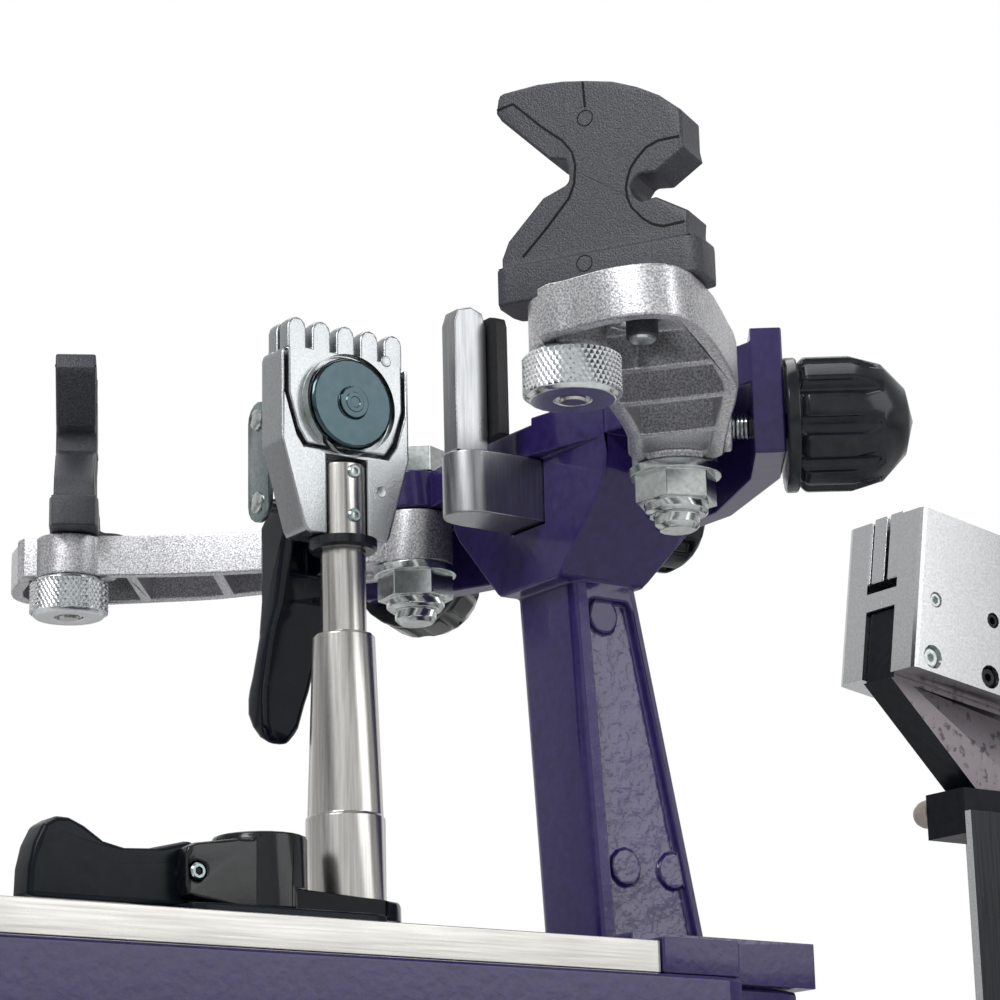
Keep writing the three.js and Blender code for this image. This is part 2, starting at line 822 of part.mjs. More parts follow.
function shoulderArm() {
  const { under, reach, flare } = arm;
  const outline = smooth(spread(armShares, reach, flare), 34);
  const body = join(
    slab(outline, under, armTop),
    upright(arm.bossRadius, under, under + arm.bossRise),
    shift(upright(arm.endRadius, under, armTop), reach, 0, 0),
    onScrew(bar(arm.seatRadius, -arm.seatReach - arm.socketDepth * 2, -arm.seatReach)),
  );
  const bolt = upright(clear(pivot.boltRadius), under - overrun, under + arm.bossRise + overrun, fewSides);
  const shank = upright(clear(thumb.shankRadius), under - overrun, armTop + overrun, fewSides);
  const socket = onScrew(bar(arm.socketRadius, -arm.seatReach - arm.socketDepth, overrun - arm.seatReach));
  return cut(body, ...armPockets(outline), bolt, shift(shank, reach, 0, 0), socket, guideSlot());
}

// The pockets between an arm's ribs, open below; the one under the screw's socket is shallow.
function armPockets(outline) {
  const { under, reach, flare, rim, rib, skin } = arm;
  const inner = inset(outline, rim);
  const keep = join(
    upright(arm.bossRadius, under - overrun, armTop),
    shift(upright(arm.thumbBoss, under - overrun, armTop, fewSides), reach, 0, 0),
    ...ribShares.map((share) => {
      const at = share * reach;
      return box(at - rib / 2, at + rib / 2, -flare, flare, under - overrun, armTop);
    }),
  );
  const first = ribShares[0] * reach;
  const past = reach * 2;
  const span = box(first, past, -flare, flare, 0, armTop);
  const deep = slab(inner, under - overrun, armTop - skin).intersect(span);
  const shallow = slab(inner, under - overrun, under + arm.shallow);
  return [cut(shallow, keep), cut(deep, keep)];
}

// The arc that a block's guide pin moves in.
function guideSlot() {
  const { guideReach, guideBearing, guideSwing, guideRadius } = block;
  const half = guideRadius + fit;
  const spare = THREE.MathUtils.radToDeg(Math.asin(half / guideReach));
  const middle = guideBearing + fullTurnDegrees / 4;
  const steps = sides / 4;
  const arc = (radius, flipped) =>
    Array.from({ length: steps + 1 }, (_, i) => {
      const swing = (guideSwing + spare) * ((2 * i) / steps - 1) * flipped;
      const angle = degrees(middle + swing);
      return [radius * Math.cos(angle), radius * Math.sin(angle)];
    });
  const outline = [...arc(guideReach + half, 1), ...arc(guideReach - half, -1)];
  return shift(slab(outline, arm.under - overrun, armTop + overrun), arm.reach, 0, 0);
}

// A block that holds a frame's shoulder, seen from its end: a wall with a notch on each side.
const blockShares = [
  [-0.93, 0.05], [0.9, 0.05], [0.9, 0.24], [0.91, 0.29], [0.6, 0.38, 0.03], [0.44, 0.37, 0.05],
  [0.35, 0.44, 0.06], [0.44, 0.5, 0.05], [0.61, 0.49, 0.03], [0.9, 0.58], [0.88, 0.63], [0.88, 0.76],
  [0.67, 0.85], [0.46, 0.91], [0.22, 0.96], [-0.04, 0.99], [-0.27, 1.01], [-0.52, 1.02],
  [-0.92, 1.01, 0.07], [-0.95, 0.92], [-0.9, 0.88], [-0.43, 0.65, 0.04], [-0.24, 0.63, 0.06],
  [-0.24, 0.52, 0.06], [-0.5, 0.475, 0.06], [-0.86, 0.3], [-0.93, 0.22],
];

function kBlock() {
  const { halfWidth, rise, baseRise, baseThick, bodyThick } = block;
  const wall = lengthways(rounded(spread(blockShares, halfWidth, rise)), -bodyThick / 2, bodyThick / 2);
  const half = baseThick / 2;
  const corner = half / 2;
  const plinth = slab(
    softened(-half, half, halfWidth, corner),
    0,
    baseRise,
  );
  const body = shift(turn(join(wall, plinth), -block.turned), 0, block.outward, 0);
  const bearing = block.guideBearing + fullTurnDegrees / 4;
  const atPin = (part) => turn(shift(part, block.guideReach, 0, 0), bearing);
  const { guideReach, guideRadius, guideBoss, guideBossRise } = block;
  const bridge = box(-guideReach / 2, 0, -guideRadius, guideRadius, 0, guideBossRise);
  const lug = atPin(join(upright(guideBoss, 0, guideBossRise), bridge));
  const pin = atPin(upright(block.guideRadius, -block.guideDrop, overrun, fewSides));
  const bore = upright(clear(thumb.shankRadius), -overrun, block.boreDepth, fewSides);
  return cut(shift(join(body, lug, pin), 0, 0, blockUnder), shift(bore, 0, 0, blockUnder));
}

// The thumb screw under a block: a knurled head and a shank up into the block.
function thumbScrew() {
  const { radius, rise, edge, recess, recessDepth, shankRadius } = thumb;
  const top = arm.under - fit;
  const low = top - rise;
  const shankTop = blockUnder + block.boreDepth - fit;
  return turned([
    [0, low + recessDepth],
    [recess, low + recessDepth],
    [recess, low],
    [radius - edge, low],
    [radius, low + edge],
    [radius, top - edge],
    [radius - edge, top],
    [shankRadius, top],
    [shankRadius, shankTop],
    [0, shankTop],
  ]);
}

// The knob on an ear, whose screw swings the arm.
function screwKnob() {
  const { radius, length, flange, flangeRadius, shoulder, flutes, fluteRadius, fluteLength } = screw;
  const profile = [
    [0, fit],
    [radius, fit],
    [radius, flange],
    [flangeRadius, flange],
    [radius, flange + radius - flangeRadius],
    ...dome(radius, shoulder, length),
  ];
  const grip = grooved(turned(profile), radius, flutes, fluteRadius, flange, flange + fluteLength);
  return onX(join(grip, upright(screw.stemRadius, -screw.stemLength, fit + overrun, fewSides)));
}

// The bolt that an arm turns on, with its head over the roof and its washer and nut under the arm.
function pivotBolt() {
  const { boltRadius } = pivot;
  const washerTop = arm.under - fit;
  const washerUnder = washerTop - washer.thick;
  const nutUnder = washerUnder - nut.rise;
  const collarUnder = nutUnder - nut.collarRise;
  const tip = washerUnder - bolt.tip;
  const headUnder = roofTop + fit;
  return join(
    turned([
      [0, tip],
      [bolt.tipRadius, tip],
      [boltRadius, tip + boltRadius - bolt.tipRadius],
      [boltRadius, headUnder + overrun],
      [0, headUnder + overrun],
    ], fewSides),
    upright(washer.radius, washerUnder, washerTop),
    hexagon(nut.across, nutUnder, washerUnder + overrun),
    turned([
      [0, collarUnder],
      [nut.collarRadius - overrun, collarUnder],
      [nut.collarRadius, collarUnder + overrun],
      [nut.collarRadius, nutUnder + overrun],
      [0, nutUnder + overrun],
    ], fewSides),
    hexagon(nut.across, headUnder, headUnder + bolt.headRise),
  );
}

// The shoe of a clamp: it glides on the plate and hooks under it, and its pin carries the swing arm.
function clampShoe() {
  const low = plateTop + fit;
  const hookTop = deck.top - fit;
  const [half, wide] = [clamp.shoeLength / 2, clamp.shoeWidth / 2];
  const corner = clamp.pinRadius;
  const plateShape = softened(-half, half, wide, corner);
  const hook = clamp.hookLength / 2;
  return join(
    slab(plateShape, low, shoeTop),
    box(-hook, hook, -clamp.tongueHalf, clamp.tongueHalf, hookTop - clamp.hookRise, low + overrun),
    box(-hook, hook, -clamp.hookHalf, clamp.hookHalf, hookTop - clamp.hookRise, hookTop),
    upright(clamp.pinRadius, shoeTop - overrun, swingTop, fewSides),
  );
}

// The swing arm: a cam housing on the shoe's pin, lugs for the lever and a boss for the post.
function swingArm() {
  const low = shoeTop + fit;
  const { postAlong, postAcross, postBoss, housingRadius, housingRise } = swing;
  const { lugHalf, lugReach, lugRise, lugTip } = swing;
  const reach = new THREE.Vector2(postAlong, postAcross);
  const bearing = THREE.MathUtils.radToDeg(reach.angle());
  const length = reach.length();
  const web = [[0, -housingRadius], [length, -postBoss], [length, postBoss], [0, housingRadius]];
  const pinHeight = low + cam.pinRise;
  const cheeks = across(
    rounded([
      [-lugReach, pinHeight - lugTip, lugTip / 2],
      [-lugReach, pinHeight + lugTip, lugTip / 2],
      [-housingRadius, swingTop + lugRise, lugTip],
      [0, swingTop + lugRise],
      [0, low],
      [-housingRadius, low],
    ]),
    -lugHalf,
    lugHalf,
  );
  const body = join(
    upright(housingRadius, low, swingTop + housingRise),
    turn(slab(web, low, swingTop), bearing),
    shift(upright(postBoss, low, swingTop), postAlong, postAcross, 0),
    cheeks,
  );
  const gap = cam.half + fit;
  const past = swingTop + lugRise + overrun;
  const slot = box(-lugReach - overrun, -housingRadius, -gap, gap, low - overrun, past);
  const pinBore = upright(clear(clamp.pinRadius), low - overrun, swingTop + fit, fewSides);
  const leverPin = crossbar(clear(cam.pinRadius), -lugHalf * 2, lugHalf * 2);
  const leverBore = shift(leverPin, -cam.pinAlong, 0, pinHeight);
  return cut(body, slot, pinBore, leverBore);
}

// The cam lever between the lugs, with its pin.
const camShares = [
  [-0.38, -0.64], [-0.28, -0.4], [-0.25, 0.3], [-0.33, 0.68], [-0.5, 0.46], [-0.6, 0.43], [-0.69, 0.53],
  [-0.77, 0.8], [-0.83, 0.93], [-0.88, 0.94], [-0.93, 0.78], [-0.965, 0.4], [-0.985, -0.05], [-0.99, -0.64],
];
function camLever() {
  const height = shoeTop + fit + cam.pinRise;
  const outline = spread(camShares, cam.reach, cam.rise).map(([x, z]) => [x, z + height]);
  const blade = across(outline, -cam.half, cam.half);
  const pin = crossbar(cam.pinRadius, -swing.lugHalf, swing.lugHalf);
  return join(blade, shift(pin, -cam.pinAlong, 0, height));
}

// The post: a foot, a slender cone and the rod that the clamp's head stands on.
function clampPost() {
  const low = swingTop + fit;
  const { footRadius, footRise, neckLow, neckHigh, rodRadius } = post;
  const edge = (neckHigh - rodRadius) / 4;
  return turned([
    [0, low],
    [footRadius, low],
    [footRadius, low + footRise - (footRadius - neckLow)],
    [neckLow, low + footRise],
    [neckHigh, neckTop - edge],
    [neckHigh - edge, neckTop],
    [rodRadius, neckTop],
    [rodRadius, rodTop],
    [0, rodTop],
  ], fewSides);
}

// A row of teeth with rounded tips, standing on a bar.
function comb(near, far, low) {
  const { toothPitch, toothCount, toothRise, toothRadius, pocketHalf } = head;
  const valley = toothTop - toothRise;
  const barPart = box(-pocketHalf, pocketHalf, near, far, low, valley);
  const teeth = Array.from({ length: toothCount }, (_, i) => {
    const x = (i - (toothCount - 1) / 2) * toothPitch;
    const tip = shift(crossbar(toothRadius, near, far), x, 0, toothTop - toothRadius);
    const root = box(x - toothRadius, x + toothRadius, near, far, valley - overrun, toothTop - toothRadius);
    return join(root, tip);
  });
  return join(barPart, ...teeth);
}

// The clamp's head: its fixed teeth, the pocket for the moving jaw, and the slot over the rod.
const jawShares = [[0.69, 0], [0.84, 0.15], [1, 0.5], [1, 1], [-1, 1], [-1, 0.5], [-0.84, 0.15], [-0.69, 0]];
function jawOutline(gap) {
  const low = headShoulder - gap;
  const width = head.pocketHalf + gap;
  return jawShares.map(([x, z]) => [x * width, low + z * (headTop - low)]);
}

function clampHead() {
  const { halfTop, halfBottom, front, back, rodHalf, jawGap } = head;
  const { lugHalf, lugReach } = head;
  const corner = lugHalf;
  const outline = rounded([
    [-halfBottom, headUnder, corner / 2],
    [halfBottom, headUnder, corner / 2],
    [halfTop, headShoulder, corner],
    [halfTop, headTop, corner / 2],
    [-halfTop, headTop, corner / 2],
    [-halfTop, headShoulder, corner],
  ]);
  const jawBack = head.toothThick - front;
  const teethStart = jawBack + jawGap;
  const pocket = across(jawOutline(jawGap), -front - overrun, teethStart);
  const past = -front - overrun;
  const slotTop = headShoulder - jawGap * 2;
  const open = box(-halfTop * 2, halfTop * 2, past, teethStart, headTop - overrun, headTop + overrun);
  const slot = box(-rodHalf, rodHalf, past, rodHalf, headUnder - overrun, slotTop);
  const lug = across(
    rounded([
      [back - overrun, hingeHeight - lugHalf * 2],
      [back + lugReach, hingeHeight - lugHalf, lugHalf],
      [back + lugReach, hingeHeight + lugHalf, lugHalf],
      [back - overrun, hingeHeight + lugHalf * 2],
    ]),
    -lugHalf,
    lugHalf,
  );
  const lugPart = turn(lug, fullTurnDegrees / 4);
  const lugBore = shift(bar(clear(head.pinRadius), -halfTop, halfTop), 0, handle.across, hingeHeight);
  const shaftBore = shift(crossbar(clear(disc.boreRadius), -front, back - lugReach / 2), 0, 0, discHeight);
  const teeth = comb(teethStart, teethStart + head.toothThick, headTop - overrun);
  const body = cut(across(outline, -front, back), pocket, open, slot);
  return cut(join(body, teeth, lugPart), lugBore, shaftBore);
}

// The moving jaw in the head's pocket.
function clampJaw() {
  const { front, toothThick } = head;
  const jawBack = toothThick - front;
  const body = join(across(jawOutline(0), -front, jawBack), comb(-front, jawBack, headTop - overrun));
  const bore = crossbar(clear(disc.boreRadius), -front - overrun, jawBack + overrun);
  return cut(body, shift(bore, 0, 0, discHeight));
}

// The disc that sets the clamp's grip, on a shaft through the jaw.
function gripDisc() {
  const { radius, thick, hubRadius, hubRise, boreRadius } = disc;
  const face = head.front + fit;
  const shaftEnd = head.back - head.lugReach / 2 - fit;
  const edge = thick / 4;
  const profile = [
    [0, -shaftEnd],
    [boreRadius, -shaftEnd],
    [boreRadius, face],
    [radius - edge, face],
    [radius, face + edge],
    [radius, face + thick - edge],
    [radius - edge, face + thick],
    [hubRadius, face + thick],
    [hubRadius, face + thick + hubRise],
    [0, face + thick + hubRise],
  ];
  return shift(turned(profile).rotate([90, 0, 0]), 0, 0, discHeight);
}

// The handle behind the head: it hangs from the lug's pin and curves outwards to a narrow tip.
const handleShares = [
  [-0.85, 0.1], [-1, 0.02], [-1, -0.5], [-0.9, -0.74], [-0.7, -0.9], [-0.35, -0.99], [0.35, -0.99],
  [0.7, -0.9], [0.9, -0.74], [1, -0.5], [1, 0.02], [0.85, 0.1],
];
const handleSideShares = [
  [0, 0.02], [0, -0.03], [0.14, -0.14], [0.26, -0.39], [0.43, -0.58], [0.58, -0.8], [0.64, -0.93],
  [0.7, -0.98], [0.8, -0.94], [0.87, -0.84], [0.83, -0.77], [0.72, -0.67], [0.6, -0.53], [0.55, -0.36],
  [0.56, -0.17], [0.56, -0.02], [0.4, 0.06], [0.2, 0.085], [0.08, 0.075],
];
function clampHandle() {
  const { half, thick, drop, swingOut } = handle;
  const start = handle.across - thick / 2;
  const face = rounded(spread(handleShares, half, drop)).map(([x, z]) => [x, z + hingeHeight]);
  const edge = spread(handleSideShares, swingOut, drop).map(([y, z]) => [y + start, z + hingeHeight]);
  const blade = across(face, 0, start + swingOut * 2).intersect(lengthways(edge, -half, half));
  const gap = head.lugHalf + fit;
  const low = hingeHeight - head.lugHalf - head.lugReach;
  const forkGap = box(-gap, gap, 0, start + thick + handle.forkReach, low, hingeHeight + drop);
  const pin = shift(bar(head.pinRadius, -gap - overrun, gap + overrun), 0, handle.across, hingeHeight);
  return join(cut(blade, forkGap), pin);
}

// The carriage: a saddle hooked under the rail's lips, with a neck and the hub of the crank.
function carriageCasting() {
  const { front, back, half, rise, hook, corner } = carriage;
  const { neckHalf, hubRadius, hubReach, hubHeight } = carriage;
  const top = railTop + fit + rise;
  const lipUnder = railTop - rail.lipRise - fit;
  const [wide, narrow] = [rail.width / 2 + fit, rail.neck / 2 + fit];
  const section = [
    [-half, lipUnder - hook],
    [-narrow, lipUnder - hook],
    [-narrow, lipUnder],
    [-wide, lipUnder],
    [-wide, railTop + fit],
    [wide, railTop + fit],
    [wide, lipUnder],
    [narrow, lipUnder],
    [narrow, lipUnder - hook],
    [half, lipUnder - hook],
    [half, top, corner],
    [-half, top, corner],
  ];
  const [neckStart, neckEnd] = [hubAlong - hubRadius, hubAlong + hubRadius];
  const neck = box(neckStart, neckEnd, -neckHalf, neckHalf, top - overrun, hubHeight);
  const hub = shift(crossbar(hubRadius, -hubReach, hubReach, sides), hubAlong, 0, hubHeight);
  const shaft = crossbar(clear(crank.shaftRadius), -hubReach * 2, hubReach * 2);
  const bore = shift(shaft, hubAlong, 0, hubHeight);
  return cut(join(lengthways(rounded(section), front, back), neck, hub), bore);
}

// The bracket on the carriage: two side plates, and the web between them with the spring's tube.
const sideInner = rocker.blockHalf + fit;
const sideOuter = sideInner + side.thick;
function sideBracket() {
  const { thick, length, farLength, corner } = side;
  const low = hubTop + fit;
  const top = hubTop + side.rise;
  const back = sideBack;
  const outline = (start) =>
    rounded([
      [start, low],
      [back, low],
      [back, webTop + corner, corner],
      [pivotAlong + rocker.hub, top, corner],
      [start, top],
    ]);
  const nearPlate = across(outline(back - length), -sideOuter, -sideInner);
  const plates = join(nearPlate, across(outline(back - farLength), sideInner, sideOuter));
  const web = box(back - thick, back, -sideOuter, sideOuter, low, webTop);
  const floor = box(back - farLength, back, -sideOuter, sideOuter, low, low + thick);
  const hinge = crossbar(clear(rocker.pinRadius), -sideOuter * 2, sideOuter * 2);
  return cut(join(plates, web, floor, springTube()), shift(hinge, pivotAlong, 0, pivotHeight));
}

// The spring's tube on the web, with a flange, and a spigot that the knob turns on.
function springTube() {
  const { radius, length, spigot, flangeRadius, flange, knobLength } = tube;
  const start = sideBack - overrun;
  const end = sideBack + length - knobLength;
  const profile = [
    [0, start],
    [flangeRadius, start],
    [flangeRadius, sideBack + flange],
    [radius, sideBack + flange],
    [radius, end],
    [spigot, end],
    [spigot, end + knobLength - flange * 2],
    [0, end + knobLength - flange * 2],
  ];
  return shift(onX(turned(profile)), 0, 0, tubeHeight);
}

// The rocker that carries the gripper, hinged between the side plates.
const rockerShares = [
  [-1, 0.95], [-0.34, 0.31], [-0.34, 0.1], [-0.2, -0.12], [0.1, -0.2], [0.2, 0.05],
  [-0.05, 0.4], [-0.2, 0.78],
];
const rockerBlockShares = [[-0.595, 0.21], [-0.2, 0.21], [-0.2, 0.435], [-0.595, 0.435]];
const placed = (shares) =>
  spread(shares, rocker.reach, rocker.reach)
    .map(([x, z]) => [x + pivotAlong, z + pivotHeight]);
const inGripper = (part) => shift(part.rotate([0, gripper.lean, 0]), gripperFront, 0, gripperTop);

function rockerArm() {
  const { half, hub, pinRadius, blockHalf } = rocker;
  const { length, rise, rockerSlotDepth, corner } = gripper;
  const inner = inGripper(
    box(corner, length - corner, -half, half, -rise - corner, rockerSlotDepth - rise - fit),
  );
  const body = join(
    across(placed(rockerShares), -half, half),
    across(placed(rockerBlockShares), -blockHalf, blockHalf),
    inner,
    shift(crossbar(hub, -half, half, sides), pivotAlong, 0, pivotHeight),
    shift(crossbar(pinRadius, -sideOuter, sideOuter), pivotAlong, 0, pivotHeight),
  );
  return cut(body, ...gripperPins(pinRadius));
}

// The places of the two pins that hold the gripper on the rocker, as bores.
const gripperPins = () =>
  [0, 1].map((i) =>
    inGripper(
      shift(
        crossbar(gripper.pinRadius, -gripper.half * 2, gripper.half * 2),
        gripper.holeAlong + i * gripper.holePitch,
        0,
        -gripper.pinDrop,
      ),
    ),
  );

// The gripper's body, slotted above for the jaws and below for the rocker.
function gripperBody() {
  const { length, rise, half, slotHalf, jawSlotDepth, rockerSlotDepth, corner } = gripper;
  const shape = softened(0, length, half, corner);
  const upper = box(-overrun, length + overrun, -slotHalf, slotHalf, -jawSlotDepth, overrun);
  const gap = rocker.half + fit;
  const lower = box(-overrun, length + overrun, -gap, gap, -rise - overrun, rockerSlotDepth - rise);
  const setScrews = [0, 1].map((i) =>
    shift(
      crossbar(gripper.setScrewRadius, -half * 2, half * 2),
      gripper.holeAlong + i * gripper.holePitch,
      0,
      -gripper.holeDrop,
    ),
  );
  return cut(inGripper(cut(slab(shape, -rise, 0), upper, lower, ...setScrews)), ...gripperPins());
}

// A jaw plate of the gripper.
function gripperJaw(sign) {
  const { length, jawInset, jawGap, slotHalf, jawSlotDepth, jawRise, jawProud } = gripper;
  const [near, far] = [jawGap / 2, slotHalf - fit];
  const low = fit - jawSlotDepth;
  const plateSolid = box(jawInset, length - jawInset, near, far, low, jawProud);
  return inGripper(sign < 0 ? flip(plateSolid) : plateSolid);
}

// The knob on the tube that sets the pull.
function tensionKnob() {
  const { knobRadius, knobLength, length, flutes, fluteRadius, spigot, flange } = tube;
  const start = sideBack + length - knobLength + fit;
  const waist = start + knobLength * domeShare;
  const grip = turned([[0, start], [knobRadius, start], ...dome(knobRadius, waist, start + knobLength)]);
  const bored = cut(grip, upright(clear(spigot), start - overrun, start + knobLength - flange));
  const fluted = grooved(bored, knobRadius, flutes, fluteRadius, start - overrun, waist);
  return shift(onX(fluted), 0, 0, tubeHeight);
}

// The crank: a shaft through the hub, an arm with a boss at each end and the bolt of the grip.
function crankArm() {
  const { radius, thick, hub, eye, waist, armGap, shaftRadius, collarRadius } = crank;
  const { gripLength, boltRadius, boltHead } = crank;
  const low = carriage.hubReach + fit;
  const face = -armGap - thick;
  const boltEnd = face - gripLength - fit * 2;
  const ring = (r, x, near, far, count) => shift(crossbar(r, near, far, count), x, 0, 0);
  const root = (hub + waist) / 2;
  const web = across([[0, -root], [radius, -waist], [radius, waist], [0, root]], face, -armGap);
  return shift(
    join(
      ring(shaftRadius, 0, -armGap - overrun, low),
      ring(hub, 0, face, -armGap, sides),
      ring(eye, radius, face, -armGap, sides),
      web,
      ring(collarRadius, 0, -armGap - overrun, -low),
      ring(boltRadius, radius, boltEnd - overrun, -armGap),
      ring(boltHead, radius, boltEnd - waist / 2, boltEnd),
      ring(collarRadius, 0, low, low + waist / 2),
    ),
    hubAlong,
    0,
    carriage.hubHeight,
  );
}

// The grip that turns on the crank's bolt.
function crankGrip() {
  const { radius, thick, armGap, gripRadius, gripNeck, gripLength, boltRadius } = crank;
  const start = armGap + thick + fit;
  const grip = turned([
    [0, start],
    [gripRadius, start],
    [gripNeck, start + gripLength / 4],
    [gripRadius, start + gripLength * 2 / 3],
    [gripNeck, start + gripLength],
    [0, start + gripLength],
  ]);
  const bore = upright(clear(boltRadius), start - overrun, start + gripLength + overrun, fewSides);
  const bored = cut(grip, bore);
  return shift(bored.rotate([90, 0, 0]), hubAlong + radius, 0, carriage.hubHeight);
}

add(stage, "base_frame", baseFrame(), purple());
add(stage, "foot_tail", sole(), rubber(), { x: base.crossWidth / 2 - base.tailReach });
add(stage, "foot_head", sole(), rubber(), { x: base.headReach - base.crossWidth / 2 });
add(stage, "brake_knob", brakeKnob(), glossBlack(), { z: brake.height });
add(stage, "tension_rail", tensionRail(), steel());
add(stage, "turntable", turntable(), purple());
add(stage, "glide_plate", glidePlate(), steel());

function addArm(end, name, sign) {
  const sided = (part) => (sign < 0 ? part : flip(part));
  const group = new THREE.Group();
  group.position.y = sign * pivot.spread;
  group.rotation.z = degrees(sign * arm.bearing);
  end.add(group);
  add(group, `arm_${name}`, sided(shoulderArm()), casting());
  add(group, `k_block_${name}`, sided(kBlock()), mattBlack(), { x: arm.reach });
  add(group, `thumb_screw_${name}`, thumbScrew(), zinc(), { x: arm.reach });
  add(group, `pivot_bolt_${name}`, pivotBolt(), zinc());
  const place = {
    x: screw.along,
    y: sign * screw.across,
    z: arm.under + screw.seat,
    bearing: sign * screw.bearing,
  };
  add(end, `screw_knob_${name}`, screwKnob(), glossBlack(), place);
}

function addEnd(name, bearing) {
  const end = new THREE.Group();
  end.rotation.z = degrees(bearing);
  end.position.x = pivot.reach * Math.cos(degrees(bearing));
  stage.add(end);
  add(end, `mast_${name}`, mastCasting(), purple());
  add(end, `support_${name}`, centreSupport(), casting());
  add(end, `support_pad_${name}`, supportPad(), rubber());
  add(end, `lock_knob_${name}`, lockKnob(), glossBlack(), { x: mast.back + fit, z: tongueHeight });
  addArm(end, `${name}_near`, -1);
  addArm(end, `${name}_far`, 1);
}
addEnd("head", 0);
addEnd("throat", 180);

function addClamp(name, bearing) {
  const group = new THREE.Group();
  group.rotation.z = degrees(bearing);
  group.position.x = clampReach * Math.cos(degrees(bearing));
  stage.add(group);
  add(group, `shoe_${name}`, clampShoe(), glossBlack());
  add(group, `swing_arm_${name}`, swingArm(), glossBlack());
  add(group, `cam_lever_${name}`, camLever(), glossBlack());
  const place = { x: swing.postAlong, y: swing.postAcross };
  add(group, `post_${name}`, clampPost(), steel(), place);
  add(group, `clamp_head_${name}`, clampHead(), casting(), place);
  add(group, `jaw_${name}`, clampJaw(), casting(), place);
  add(group, `grip_disc_${name}`, gripDisc(), casting(), place);
  add(group, `handle_${name}`, clampHandle(), glossBlack(), place);
}
addClamp("head", 0);
addClamp("throat", 180);

add(stage, "carriage", carriageCasting(), casting());
add(stage, "side_bracket", sideBracket(), chrome());
add(stage, "rocker", rockerArm(), casting());
add(stage, "gripper_body", gripperBody(), casting());
add(stage, "gripper_jaw_near", gripperJaw(-1), steel());
add(stage, "gripper_jaw_far", gripperJaw(1), steel());
add(stage, "tension_knob", tensionKnob(), glossBlack());
add(stage, "crank_arm", crankArm(), zinc());
add(stage, "crank_grip", crankGrip(), glossBlack());
// The origin is under the middle of the machine's length.
stage.position.x = (pivot.reach + mast.footEnd - base.headReach) / 2;
export default stage;
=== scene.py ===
# %% [markdown]
# A table-top stringing machine with a turntable, six mounting points, two sliding clamps and a
# crank-driven tension head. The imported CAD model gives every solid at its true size. This script
# gives each solid its finish, rounds its edges, and adds the small things that a modelled solid
# leaves out: threads, knurls, seams, set screws, links and rivets.

# %% Load the fixed frame
import json
import math
import bpy
from mathutils import Matrix, Vector

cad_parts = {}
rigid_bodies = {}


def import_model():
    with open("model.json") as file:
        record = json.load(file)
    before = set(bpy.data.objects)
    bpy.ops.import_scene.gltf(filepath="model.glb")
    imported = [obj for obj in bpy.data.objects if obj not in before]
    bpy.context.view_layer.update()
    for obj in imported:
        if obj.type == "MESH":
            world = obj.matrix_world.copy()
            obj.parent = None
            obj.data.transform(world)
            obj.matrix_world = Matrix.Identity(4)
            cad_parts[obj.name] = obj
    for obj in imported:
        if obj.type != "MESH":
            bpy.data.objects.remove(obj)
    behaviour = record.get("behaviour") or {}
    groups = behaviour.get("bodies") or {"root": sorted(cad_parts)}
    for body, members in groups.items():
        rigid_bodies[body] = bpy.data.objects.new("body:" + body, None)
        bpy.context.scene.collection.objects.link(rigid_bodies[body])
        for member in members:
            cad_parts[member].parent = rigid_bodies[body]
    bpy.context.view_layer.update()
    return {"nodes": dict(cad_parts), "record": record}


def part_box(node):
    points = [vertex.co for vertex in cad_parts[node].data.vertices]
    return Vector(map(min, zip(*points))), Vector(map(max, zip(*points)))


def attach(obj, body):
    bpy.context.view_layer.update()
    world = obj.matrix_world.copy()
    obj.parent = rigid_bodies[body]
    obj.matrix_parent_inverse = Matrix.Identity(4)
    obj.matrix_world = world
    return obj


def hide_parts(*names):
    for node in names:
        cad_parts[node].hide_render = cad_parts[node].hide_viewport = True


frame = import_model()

bodies = frame["record"]["behaviour"]["bodies"]
body_of_node = {node: body for body, nodes in bodies.items() for node in nodes}
slot_of_node = {part["node"]: part["material_slot"] for part in frame["record"]["subparts"]}

# %% [markdown]
# The photograph was taken from low on the crank side, near the free end of the base, with a
# long lens. The camera's place and turn were worked out from edges that the solids share with
# the picture, so a solid falls on its own picture without any fitting here.

# %% Camera
camera_right = Vector((0.81591, -0.57769, -0.02346))
camera_up = Vector((-0.13610, -0.23134, 0.96330))
camera_back = -Vector((0.56192, 0.78278, 0.26738))
camera_place = Vector((-0.4969, -0.6378, 0.123))
sensor_width = 36
picture_focal_share = 3.004
nearest_seen = 0.02
bpy.ops.object.camera_add()
camera = bpy.context.object
camera.name = "camera"
camera.data.sensor_width = sensor_width
camera.data.lens = picture_focal_share * sensor_width
camera.data.clip_start = nearest_seen
camera.matrix_world = Matrix((
    (camera_right.x, camera_up.x, camera_back.x, camera_place.x),
    (camera_right.y, camera_up.y, camera_back.y, camera_place.y),
    (camera_right.z, camera_up.z, camera_back.z, camera_place.z),
    (0, 0, 0, 1)))
bpy.context.scene.camera = camera
print("lens", round(camera.data.lens, 1), "mm")

# %% [markdown]
# The machine stands on a sheet of pale paper, which keeps its shadow. A large plane is enough
# for that, because the camera never sees its edge from the photograph's own place. The view
# transform stays Standard, so a colour comes out about as it is written.

# %% Floor
bpy.context.scene.view_settings.view_transform = "Standard"
floor_half = 6.0
floor_grey = 0.80
floor_rough = 0.9
bpy.ops.mesh.primitive_plane_add(size=floor_half * 2, location=(0, 0, 0))
floor = bpy.context.object
floor.name = "floor"
paper = bpy.data.materials.new("floor_paper")
paper.use_nodes = True
paper_shader = paper.node_tree.nodes["Principled BSDF"]
paper_shader.inputs["Base Color"].default_value = (floor_grey, floor_grey, floor_grey, 1)
paper_shader.inputs["Roughness"].default_value = floor_rough
floor.data.materials.append(paper)
print("floor", floor_half * 2, "m wide")

